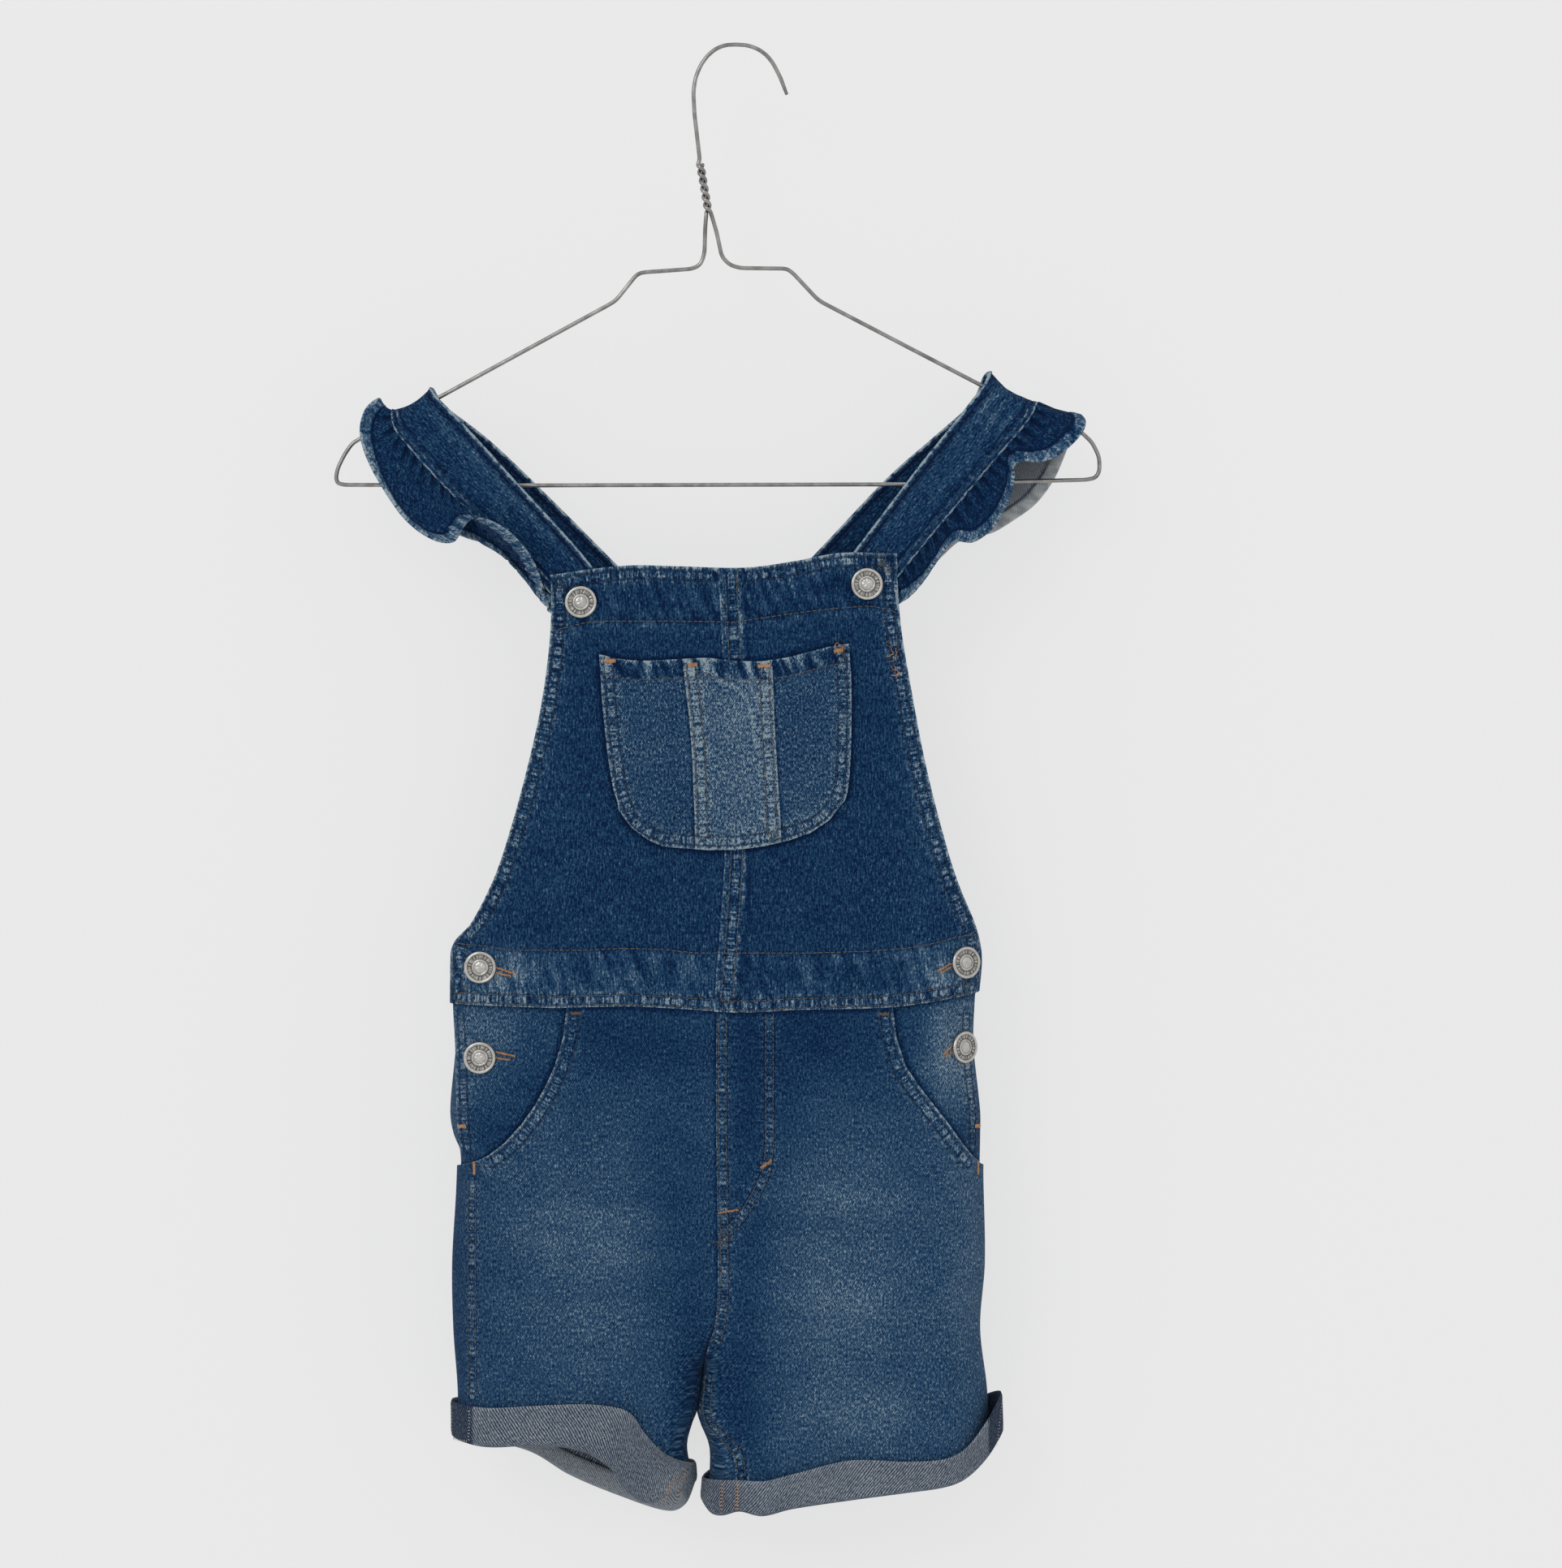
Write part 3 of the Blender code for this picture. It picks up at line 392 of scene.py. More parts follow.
def clothMaterial(name, wash, pitch=1.25, lean=-1.0, twill=0.14, slubs=0.80, flecks=1.35, fleckTone=0.44,
                  pale=0.50, dark=0.34, puckers=1.0, relief=0.26, threadRelief=0.07, sheen=0.02):
    made = bpy.data.materials.new(name)
    made.use_nodes = True
    tree = made.node_tree
    shader = tree.nodes["Principled BSDF"]
    read = {key: put(tree, "ShaderNodeAttribute", attribute_name=key) for key in ("cloth", "fade", "band", "along", "pucker")}
    threads = put(tree, "ShaderNodeGroup", node_tree=weave)
    tree.links.new(read["cloth"].outputs["Vector"], threads.inputs["Cloth"])
    for label, value in (("Pitch", pitch), ("Lean", lean), ("Twill", twill), ("Slubs", slubs), ("Flecks", flecks)):
        threads.inputs[label].default_value = value
    rows = put(tree, "ShaderNodeGroup", {}, node_tree=seamWearAndShade)
    tree.links.new(read["band"].outputs["Fac"], rows.inputs["Band"])
    tree.links.new(read["along"].outputs["Fac"], rows.inputs["Along"])
    cloudy = put(tree, "ShaderNodeTexNoise", {"Vector": read["cloth"].outputs["Vector"], "Scale": 0.055, "Detail": 4.0,
                                              "Roughness": 0.65})
    tone = calc(tree, "ADD", read["fade"].outputs["Fac"], calc(tree, "MULTIPLY", threads.outputs["Threads"], fleckTone))
    tone = calc(tree, "ADD", tone, calc(tree, "MULTIPLY", calc(tree, "SUBTRACT", cloudy.outputs[0], 0.5), 0.34))
    # Pale worn crests along the stitching, darker dents, and painted shade in the groove beside the thread
    tone = calc(tree, "ADD", tone, calc(tree, "MULTIPLY", rows.outputs["Pale"], pale))
    tone = calc(tree, "SUBTRACT", tone, calc(tree, "MULTIPLY", rows.outputs["Dark"], dark))
    gather = put(tree, "ShaderNodeGroup", {}, node_tree=gatherFolds)
    tree.links.new(read["cloth"].outputs["Vector"], gather.inputs["Cloth"])
    tree.links.new(read["pucker"].outputs["Fac"], gather.inputs["Amount"])
    # Painted light and shade of the gathers, following their height
    tone = calc(tree, "ADD", tone, calc(tree, "MULTIPLY", gather.outputs["Tone"], puckers), limit=True)
    ramp = put(tree, "ShaderNodeValToRGB", {"Fac": tone})
    stops = ramp.color_ramp.elements
    for place, colour in wash[1:-1]:
        stops.new(place)
    for stop, (place, colour) in zip(stops, wash):
        stop.position = place
        stop.color = (*colour, 1)
    tree.links.new(ramp.outputs[0], shader.inputs["Base Color"])
    gatherBump = put(tree, "ShaderNodeBump", {"Height": gather.outputs["Height"], "Strength": 0.9, "Distance": 0.5 * mm})
    seamBump = put(tree, "ShaderNodeBump", {"Height": rows.outputs["Height"], "Strength": 0.9, "Distance": relief * mm,
                                            "Normal": gatherBump.outputs[0]})
    threadBump = put(tree, "ShaderNodeBump", {"Height": threads.outputs["Height"], "Strength": 0.8,
                                              "Distance": threadRelief * mm, "Normal": seamBump.outputs[0]})
    tree.links.new(threadBump.outputs[0], shader.inputs["Normal"])
    shader.inputs["Roughness"].default_value = 0.92
    shader.inputs["Specular IOR Level"].default_value = 0.06
    shader.inputs["Sheen Weight"].default_value = sheen
    shader.inputs["Sheen Roughness"].default_value = 0.6
    return made


def plainMaterial(name, colour, spread, scale, roughness, metallic=0.0, relief=0.0, stretch=(1, 1, 1)):
    # A finish whose tone wanders a little over the surface
    made = bpy.data.materials.new(name)
    made.use_nodes = True
    tree = made.node_tree
    shader = tree.nodes["Principled BSDF"]
    where = put(tree, "ShaderNodeTexCoord")
    sized = put(tree, "ShaderNodeMapping", {"Vector": where.outputs["Object"], "Scale": stretch})
    noise = put(tree, "ShaderNodeTexNoise", {"Vector": sized.outputs[0], "Scale": scale, "Detail": 4.0, "Roughness": 0.6})
    tones = put(tree, "ShaderNodeValToRGB", {"Fac": noise.outputs[0]})
    tones.color_ramp.elements[0].position, tones.color_ramp.elements[1].position = 0.3, 0.7
    tones.color_ramp.elements[0].color = (*(c * (1 - spread) for c in colour), 1)
    tones.color_ramp.elements[1].color = (*(min(c * (1 + spread), 1) for c in colour), 1)
    tree.links.new(tones.outputs[0], shader.inputs["Base Color"])
    rough = put(tree, "ShaderNodeMapRange", {"Value": noise.outputs[0], 3: roughness * 0.8, 4: min(roughness * 1.25, 1)})
    tree.links.new(rough.outputs[0], shader.inputs["Roughness"])
    shader.inputs["Metallic"].default_value = metallic
    if relief:
        bump = put(tree, "ShaderNodeBump", {"Height": noise.outputs[0], "Strength": 0.7, "Distance": relief * mm})
        tree.links.new(bump.outputs[0], shader.inputs["Normal"])
    return made


deepDenim = clothMaterial("deepDenim", denimWash)
wornDenim = clothMaterial("wornDenim", denimWash, twill=0.24, slubs=0.32, flecks=1.5, pale=0.36, dark=0.36)
pocketDenim = clothMaterial("pocketDenim", denimWash, twill=0.24, slubs=0.32, flecks=1.9, pale=0.40, dark=0.36)
wrongSide = clothMaterial("wrongSideDenim", wrongSideWash, pitch=1.6, lean=-1.0, twill=1.00, slubs=0.16, flecks=1.5,
                          fleckTone=0.34, threadRelief=0.09)
undersideWash = [
    (0.0, (0.045, 0.060, 0.085)), (0.3, (0.150, 0.168, 0.188)), (0.6, (0.235, 0.250, 0.262)), (1.0, (0.38, 0.40, 0.41)),
]
ruffleUnderside = clothMaterial("ruffleUnderside", undersideWash, pitch=1.2, twill=0.34, slubs=0.12, flecks=0.50,
                                fleckTone=0.30, threadRelief=0.09)
tanThread = plainMaterial("tanThread", (0.10, 0.080, 0.056), 0.35, 260, 0.75, relief=0.1)
# Near-black navy: the thread's colour with the shade of the grooves its rows lie in painted in
navyThread = plainMaterial("navyThread", (0.012, 0.022, 0.045), 0.4, 260, 0.75, relief=0.1)
paleThread = plainMaterial("paleThread", (0.42, 0.42, 0.40), 0.25, 300, 0.75, relief=0.1)
orangeThread = plainMaterial("orangeThread", (0.42, 0.22, 0.10), 0.35, 300, 0.75, relief=0.1)
wireMetal = plainMaterial("galvanisedWire", (0.26, 0.255, 0.25), 0.35, 160, 0.26, metallic=1.0, relief=0.03)


def makeButtonMetal():
    # Worn nickel, darker in its grooves
    made = plainMaterial("buttonNickel", (0.46, 0.445, 0.42), 0.2, 420, 0.27, metallic=1.0, relief=0.05)
    tree = made.node_tree
    shader = tree.nodes["Principled BSDF"]
    tones = shader.inputs["Base Color"].links[0].from_socket
    groove = put(tree, "ShaderNodeAttribute", attribute_name="groove")
    dulled = put(tree, "ShaderNodeMix", data_type="RGBA")
    tree.links.new(groove.outputs["Fac"], dulled.inputs[0])
    tree.links.new(tones, dulled.inputs[6])
    dulled.inputs[7].default_value = (0.05, 0.048, 0.045, 1)
    tree.links.new(dulled.outputs[2], shader.inputs["Base Color"])
    return made


buttonMetal = makeButtonMetal()
print("materials made")


# Meshes

def makePiece(name, points, faces, looks, values=None, lookOf=None, replaces=()):
    # One object from points in millimetres and arrays of faces, with named values on its points
    mesh = bpy.data.meshes.new(name)
    points = np.asarray(points, float).reshape(-1, 3)
    mesh.vertices.add(len(points))
    mesh.vertices.foreach_set("co", (points * mm).astype(np.float32).ravel())
    corners = np.concatenate([rows.ravel() for rows in faces]).astype(np.int32)
    sizes = np.concatenate([np.full(len(rows), rows.shape[1]) for rows in faces])
    mesh.loops.add(len(corners))
    mesh.loops.foreach_set("vertex_index", corners)
    mesh.polygons.add(len(sizes))
    mesh.polygons.foreach_set("loop_start", (np.cumsum(sizes) - sizes).astype(np.int32))
    if lookOf is not None:
        mesh.polygons.foreach_set("material_index", lookOf.astype(np.int32))
    mesh.update(calc_edges=True)
    mesh.polygons.foreach_set("use_smooth", np.ones(len(sizes), bool))
    for key, value in (values or {}).items():
        wide = value.ndim > 1 and value.shape[-1] == 3
        field = mesh.attributes.new(key, "FLOAT_VECTOR" if wide else "FLOAT", "POINT")
        field.data.foreach_set("vector" if wide else "value", value.astype(np.float32).ravel())
    for look in looks:
        mesh.materials.append(look)
    piece = bpy.data.objects.new(name, mesh)
    bpy.context.scene.collection.objects.link(piece)
    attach(piece, "root")
    if replaces:
        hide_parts(*replaces)
    return piece


def gridFaces(rows, columns, ring=False, start=0):
    # Corners of the cells of a grid of points
    r, c = np.meshgrid(np.arange(rows - 1), np.arange(columns if ring else columns - 1), indexing="ij")
    n = (c + 1) % columns
    return start + np.stack([r * columns + c, r * columns + n, (r + 1) * columns + n, (r + 1) * columns + c], -1).reshape(-1, 4)


def lengthsOf(points, axis):
    steps = np.linalg.norm(np.diff(points, axis=axis), axis=-1)
    pad = [(0, 0), (0, 0)]
    pad[axis] = (1, 0)
    return np.pad(np.cumsum(steps, axis=axis), pad)


def borderDistance(grid, ring=False):
    # Distance from the nearest border of a grid of points, along its rows and columns
    down = lengthsOf(grid, 0)
    near = np.minimum(down, down[-1:] - down)
    if not ring:
        over = lengthsOf(grid, 1)
        near = np.minimum(near, np.minimum(over, over[:, -1:] - over))
    return near


def shell(name, at, wall, values, looks, replaces=(), ring=False, within=None):
    # A thin closed shell with rounded borders; at(inset) gives the grid of points moved in by inset
    near = clamp(borderDistance(at(0.0), ring) / (wall / 2))
    rounding = wall / 2 * 0.92 * (1 - np.sqrt(1 - (1 - near) ** 2))
    outer, inner = at(rounding), at(wall - rounding)
    rows, columns = outer.shape[:2]
    count = rows * columns
    outside = gridFaces(rows, columns, ring)
    inside = outside[:, ::-1] + count
    rims = []
    for row in (0, rows - 1):
        edge = np.arange(columns) + row * columns
        a, b = (edge, np.roll(edge, -1)) if ring else (edge[:-1], edge[1:])
        rims.append(np.stack([b, a, a + count, b + count], -1)[:, :: 1 if row == 0 else -1])
    if not ring:
        for column in (0, columns - 1):
            edge = np.arange(rows) * columns + column
            a, b = edge[:-1], edge[1:]
            rims.append(np.stack([a, b, b + count, a + count], -1)[:, :: 1 if column == 0 else -1])
    points = np.concatenate([outer.reshape(-1, 3), inner.reshape(-1, 3)])
    a, b, c = (points[outside[:, k]] for k in range(3))
    facing = np.einsum("ij,ij->i", np.cross(b - a, c - a), a - points[outside[:, 0] + count]).sum()
    faces = [outside, inside, *rims]
    inLook = np.ones(len(inside)) if within is None else within.ravel()
    lookOf = np.concatenate([np.zeros(len(outside)), inLook, np.zeros(sum(map(len, rims)))])
    if facing < 0:
        faces = [rows_[:, ::-1] for rows_ in faces]
    both = {}
    for key, value in values.items():
        flat = np.broadcast_to(value, outer.shape if np.ndim(value) == 3 else (rows, columns))
        both[key] = np.concatenate([flat.reshape(count, -1)] * 2).squeeze()
    return makePiece(name, points, faces, looks, both, lookOf if len(looks) > 1 else None, replaces)


def resample(line, step):
    # Points evenly spaced along a line of points
    line = np.asarray(line, float)
    run = np.concatenate([[0], np.cumsum(np.linalg.norm(np.diff(line, axis=0), axis=1))])
    count = max(int(round(run[-1] / step)), 1) + 1
    at = np.linspace(0, run[-1], count)
    return np.stack([np.interp(at, run, line[:, k]) for k in range(line.shape[1])], -1)


def nearestLine(points, lines, far=30.0):
    # Signed distance from the nearest line and the place along it
    shape, flat = points.shape[:-1], points.reshape(-1, 3)
    band, along = np.full(len(flat), far), np.zeros(len(flat))
    for number, line in enumerate(lines):
        line = resample(line, 4.0)
        a, d = line[:-1], np.diff(line, axis=0)
        length = np.linalg.norm(d, axis=1)
        run = np.concatenate([[0], np.cumsum(length)[:-1]])
        rel = flat[:, None] - a[None]
        share = clamp((rel * d).sum(-1) / np.maximum(length**2, 1e-9))
        off = rel - share[..., None] * d
        away = np.linalg.norm(off, axis=-1)
        i = away.argmin(1)
        each = np.arange(len(flat))
        sign = np.sign(d[i, 0] * rel[each, i, 2] - d[i, 2] * rel[each, i, 0])
        value = away[each, i] * np.where(sign == 0, 1, sign)
        nearer = np.abs(value) < np.abs(band)
        band = np.where(nearer, value, band)
        along = np.where(nearer, run[i] + share[each, i] * length[i] + 53.0 * number, along)
    return clamp(np.abs(band), 0, far).reshape(shape), along.reshape(shape)


def patches(x, z, base, spots):
    # Washed-out and dark places: x, z, half widths across and up, amount
    total = np.full(np.broadcast(x, z).shape, float(base))
    for px, pz, rx, rz, amount in spots:
        total = total + amount * np.exp(-(((x - px) / rx) ** 2) - ((z - pz) / rz) ** 2)
    return total


def spreadAlong(run, step, close=(0.25, 0.6, 1.2)):
    # Places from 0 to 1 along a length, closer together at both ends
    run = float(run)
    inner = np.linspace(close[-1], run - close[-1], max(int((run - 2 * close[-1]) / step), 1) + 1)
    places = [0.0, *close[:-1], *inner, *(run - c for c in close[:-1][::-1]), run]
    return np.array(places) / run


def columnsFor(side, z, start, end, step):
    # Shares between start and end that lie evenly along the cloth at a height
    s = np.linspace(0, 1, 1200)
    face, x = roundAt(side, mix(start, end, s), z)
    line = skin(side, face, x, np.full_like(x, z))
    run = np.concatenate([[0], np.cumsum(np.linalg.norm(np.diff(line, axis=0), axis=1))])
    return np.interp(spreadAlong(run[-1], step) * run[-1], run, s)


def panelGrid(side, rows, columns, edges, start, end, isBack=False):
    # Face, x, z and share of each point of a panel, from its edges over x and its two ends
    t, s = rows[:, None], columns[None, :]
    part = np.minimum(t.astype(int), len(edges) - 2)
    face = np.full((len(rows), len(columns)), back if isBack else front)
    x = np.full(face.shape, float(outerX(side, -600)) * 0.6)
    for _ in range(10):
        levels = [np.broadcast_to(edge(face, x), face.shape) for edge in edges]
        upper, lower = np.choose(part, levels[:-1]), np.choose(part, levels[1:])
        z = mix(upper, lower, t - part)
        share = mix(start(z), end(z), s)
        face, x = roundAt(side, share, z)
    return face, x, z, share


def grainOf(grid, side):
    # u and v along the threads: u is x, let out where the cloth turns back, and v is z
    spare = bodyDepth(grid[..., 2]) - np.abs(grid[..., 1])
    return stack(grid[..., 0] + side * spare * 0.8 + (grid[..., 1] > 0) * 400.0, grid[..., 2], 0)


def clothPlaces(grid, x0):
    # u and v over the cloth in millimetres: u runs across from x0 at the last column, v down
    u, v = lengthsOf(grid, 1), lengthsOf(grid, 0)
    return np.stack([x0 + u, -v, np.zeros_like(u)], -1)


# Sewing

seams = {}  # stitches by (piece, thread): centre, way, normal, length, thickness


def sew(piece, thread, line, normals, step=3.1, length=2.5, thick=0.5, across=False, lift=0.12, shake=0.12, seed=1):
    # A row of stitches along a line that lies on the cloth
    line, normals = np.asarray(line, float), np.asarray(normals, float)
    both = resample(np.concatenate([line, normals * 0.01], 1), step / 2)
    centres, sides = both[1::2, :3], unit(both[1::2, 3:] * 100)
    ends = both[2::2, :3] - both[0:-1:2, :3][: len(both[2::2])]
    centres, sides, way = centres[: len(ends)], sides[: len(ends)], unit(ends)
    if across:
        way = unit(np.cross(way, sides))
    chance = np.random.default_rng(seed + len(seams))
    way = unit(way + chance.normal(0, shake * 0.5, way.shape))
    centres = centres + sides * lift + way * chance.normal(0, shake, (len(way), 1))
    size = length * (1 + chance.normal(0, shake * 0.5, len(way)))
    seams.setdefault((piece, thread), []).append((centres, way, sides, size, np.full(len(way), thick)))


def finishSewing():
    # One mesh for each piece and thread
    looks = {"tan": tanThread, "navy": navyThread, "orange": orangeThread, "pale": paleThread}
    places = ((-1.0, 0.35, -0.7), (-0.55, 0.95, 0.05), (0.55, 0.95, 0.05), (1.0, 0.35, -0.7))
    turn = np.arange(5) * 2 * np.pi / 5
    cell = gridFaces(4, 5, ring=True)
    for (piece, thread), rows in seams.items():
        centres, way, normal, size, thick = (np.concatenate(parts) for parts in zip(*rows))
        over = unit(np.cross(way, normal))
        normal = unit(np.cross(over, way))
        rings = []
        for reach, girth, drop in places:
            middle = centres + way * (size / 2 * reach)[:, None] + normal * (thick / 2 * drop)[:, None]
            radius = (thick / 2 * girth)[:, None, None]
            circle = np.cos(turn)[None, :, None] * over[:, None] + np.sin(turn)[None, :, None] * normal[:, None]
            rings.append(middle[:, None] + radius * circle)
        points = np.stack(rings, 1).reshape(-1, 3)
        starts = np.arange(len(centres))[:, None, None] * 20
        caps = np.array([[4, 3, 2, 1, 0], [15, 16, 17, 18, 19]])
        faces = [(cell[None] + starts).reshape(-1, 4), (caps[None] + starts).reshape(-1, 5)]
        makePiece(f"{piece}_{thread}_stitches", points, faces, [looks[thread]])


def lay(side, xz, inset=0.0, face=front):
    # Points and normals on the cloth over a line of x and z
    xz = resample(xz, 2.0)
    points = skin(side, face, xz[:, 0], xz[:, 1], inset)
    return points, unit(points - skin(side, face, xz[:, 0], xz[:, 1], inset + 1.0))


def beside(xz, off):
    # The same line of x and z, moved sideways
    xz = resample(xz, 2.0)
    way = unit(np.gradient(xz, axis=0))
    return xz + off * np.stack([way[:, 1], -way[:, 0]], -1)


def uneven(run, seed=0.0):
    # Wanders around 1 along a length in millimetres
    return 1 + 0.28 * np.sin(0.61 * run + 3 * seed) + 0.24 * np.sin(1.57 * run + seed) + 0.20 * np.sin(2.9 * run + 2 * seed)


def borderTone(grid, tones):
    # Paler or darker along the borders: top, bottom, start, end, each with an amount and a width
    down, over = lengthsOf(grid, 0), lengthsOf(grid, 1)
    away = {"top": down, "bottom": down[-1:] - down, "start": over, "end": over[:, -1:] - over}
    run = {"top": over, "bottom": over, "start": down, "end": down}
    return sum(amount * uneven(run[key], width) * np.exp(-((away[key] / width) ** 2)) for key, (amount, width) in tones.items())


def zs(first, last, step=6):
    return np.arange(first, last, -step if last < first else step)


def xzOf(x, z):
    return np.stack(np.broadcast_arrays(np.asarray(x, float), np.asarray(z, float)), -1)


# Bib and front waist: where it is washed out, its pale worn borders with painted shade where the right piece laps over
# the centre seam, and its rows of stitching
bib = {
    "step": 1.7,
    "rows": 4.75,  # middle of the twin rows from the edge
    "strip": 10.5,  # felled centre seam
    "stripOut": 0.7,
    "tone": 0.20,
    "spots": {
        left: [(-127, -491, 22, 13, 0.40), (-76, -495, 36, 11, 0.16), (-20, -495, 34, 11, 0.12), (-95, -400, 10, 90, 0.04)],
        right: [(112, -489, 22, 13, 0.36), (34, -495, 42, 11, 0.09), (98, -400, 10, 80, 0.08)],
    },
    "borders": {
        # The left piece's dark end is painted shade under the right piece's lap; the pale borders are worn edges
        left: {"top": (0.54, 1.3), "start": (0.50, 1.2), "bottom": (0.48, 1.1), "end": (-0.42, 1.5)},
        right: {"top": (0.54, 1.3), "start": (0.50, 1.2), "bottom": (0.48, 1.1), "end": (0.36, 1.1)},
    },
    "facing": [(-97, -310.5), (-90, -309), (-80, -306.5), (-70, -305.5), (-30, -305.5), (0, -306), (20, -303), (30, -301.5),
               (50, -299), (70, -297.5), (80, -299), (87, -302)],
    "waistFacing": [(-147, -475.5), (-130, -477), (-120, -479), (-80, -479), (-60, -478), (-40, -478.5), (-20, -480.5),
                    (40, -480.5), (70, -479.5), (90, -478), (100, -476.5), (110, -474), (120, -471.5), (129, -471)],
}


def bibRaise(side, x, z):
    # The felled strip right of the centre seam stands out on the right-hand piece
    if side == left:
        return np.zeros(np.broadcast(x, z).shape)
    return bib["stripOut"] * (1 - ease((x - innerX(right, z) - bib["strip"] + 0.6) / 1.2))


def clipLine(side, xz):
    xz = resample(xz, 2.0)
    inside = (xz[:, 0] < innerX(left, xz[:, 1])) if side == left else (xz[:, 0] > innerX(right, xz[:, 1]))
    return xz[inside]


def makeBib(side, name):
    rows = spreadAlong(230, bib["step"])
    columns = columnsFor(side, -400.0, shareAt(side, sideEdge(side, -400.0), -400.0), 1 - 1e-6, bib["step"])
    edges = (lambda face, x: bibTop(x), lambda face, x: waistSeam(x) + cut["waistGap"] / 2)
    face, x, z, share = panelGrid(side, rows, columns, edges, lambda z: frontStart(side, z), lambda z: 1 - 1e-6 + 0 * z)
    raised = bibRaise(side, x, z)
    if side == right:
        x = x - 1.2 * np.exp(-(x - innerX(right, z)) / 2.0)  # laps over the left piece
    grid = skin(side, face, x, z)
    edgeZ = zs(bibTop(sideEdge(side, -280.0)) - 5, -508)
    xTop = np.arange(-96, innerX(left, -280.0), 6) if side == left else np.arange(innerX(right, -280.0) + 10, 84, 6)
    xWaist = np.arange(-148, -9, 6) if side == left else np.arange(-8, 126, 6)
    twins = [
        xzOf(xTop, bibTop(xTop) - bib["rows"]),
        xzOf(sideEdge(side, edgeZ) - side * bib["rows"], edgeZ),
        xzOf(xWaist, waistSeam(xWaist) + 3.6),
    ]
    if side == right:
        stripZ = zs(-280, -509)
        twins.append(xzOf(innerX(right, stripZ) + bib["strip"] / 2, stripZ))
    band, along = nearestLine(grid, [lay(side, line)[0] for line in twins])
    tone = patches(x, z, bib["tone"], bib["spots"][side]) + borderTone(grid, bib["borders"][side])
    # A pale worn ridge beside each facing's stitching, and painted shade along the stitched line itself
    for line, amount in ((bib["facing"], 0.12), (bib["waistFacing"], 0.10)):
        seamZ = np.interp(x, *np.array(line).T)
        tone = tone + amount * np.exp(-(((z - seamZ + 3.0) / 2.6) ** 2)) - 0.16 * np.exp(-(((z - seamZ) / 0.9) ** 2))
    if side == right:
        # Pale worn edge on the felled strip, and painted shade just beside its raised edge
        strip = x - innerX(right, z)
        tone = tone + 0.30 * np.exp(-(((strip - 9.6) / 1.0) ** 2)) - 0.26 * np.exp(-(((strip - 11.8) / 1.1) ** 2))
    facingZ, waistZ = (np.interp(x, *np.array(bib[key]).T) for key in ("facing", "waistFacing"))
    drawn = 0.42 * ease((z - facingZ + 4) / 3) + 0.34 * ease((waistZ - z + 3) / 4)
    # Painted shadow: a dark line on the bib just outside the pocket's edges
    rim = nearestLine(stack(x, 0, z), [stack(line[:, 0], 0, line[:, 1]) for line in pocketOutline()])[0]
    tone = tone - 0.42 * np.exp(-((rim / 1.7) ** 2))
    values = {"cloth": grainOf(grid, side), "fade": tone, "band": band, "along": along, "pucker": drawn}
    shell(f"bib_{name}_cloth", lambda inset: skin(side, face, x, z, inset - raised), cut["wall"], values,
          [deepDenim, wrongSide], (f"bib_{name}",))
    for number, line in enumerate(twins):
        half = 3.0 if number == 3 else 2.4
        for off in (-half, half):
            row = beside(line, off)
            points, normals = lay(side, row, -bibRaise(side, *resample(row, 2.0).T))
            sew(f"bib_{name}", "navy" if number in (0, 1) else "tan", points, normals, thick=0.5)
    for line in (bib["facing"], bib["waistFacing"]):
        row = clipLine(side, line)
        points, normals = lay(side, row, -bibRaise(side, *resample(row, 2.0).T))
        sew(f"bib_{name}", "tan", points, normals, thick=0.55)


# Fronts of the shorts
shorts = {
    "step": 1.7,
    "mouthBand": 4.6,  # middle of the pocket mouth's twin rows
    "tone": 0.38,
    # Pale places are fade; the dark spots by the centre seam and the inseam are painted shade where the cloth turns
    # away and folds in
    "spots": {
        left: [(-60, -524, 60, 24, -0.20), (-78, -650, 40, 56, 0.17), (-82, -604, 40, 24, 0.02), (-146, -660, 12, 90, -0.14),
               (-30, -620, 18, 70, -0.12), (-22, -700, 12, 45, -0.14), (-60, -700, 45, 40, 0.01)],
        right: [(40, -524, 60, 24, -0.22), (58, -655, 42, 60, 0.19), (60, -600, 40, 26, 0.05), (124, -640, 16, 90, 0.16),
                (6, -620, 16, 60, -0.14), (2, -715, 14, 40, -0.22), (64, -726, 40, 22, 0.16), (12, -560, 22, 40, -0.16)],
    },
    # The dark top border is painted shadow under the waist seam, and the left piece's dark end is painted shade under
    # the right piece's lap; pale borders are worn edges
    "borders": {
        left: {"top": (-0.42, 2.0), "start": (0.42, 1.2), "end": (-0.40, 1.5)},
        right: {"top": (-0.42, 2.0), "start": (0.44, 1.2), "end": (0.40, 1.1)},
    },
    "fly": [(18, -512), (18, -582), (16.5, -595), (11.5, -606), (6, -615), (-1, -624), (-8, -630)],
}


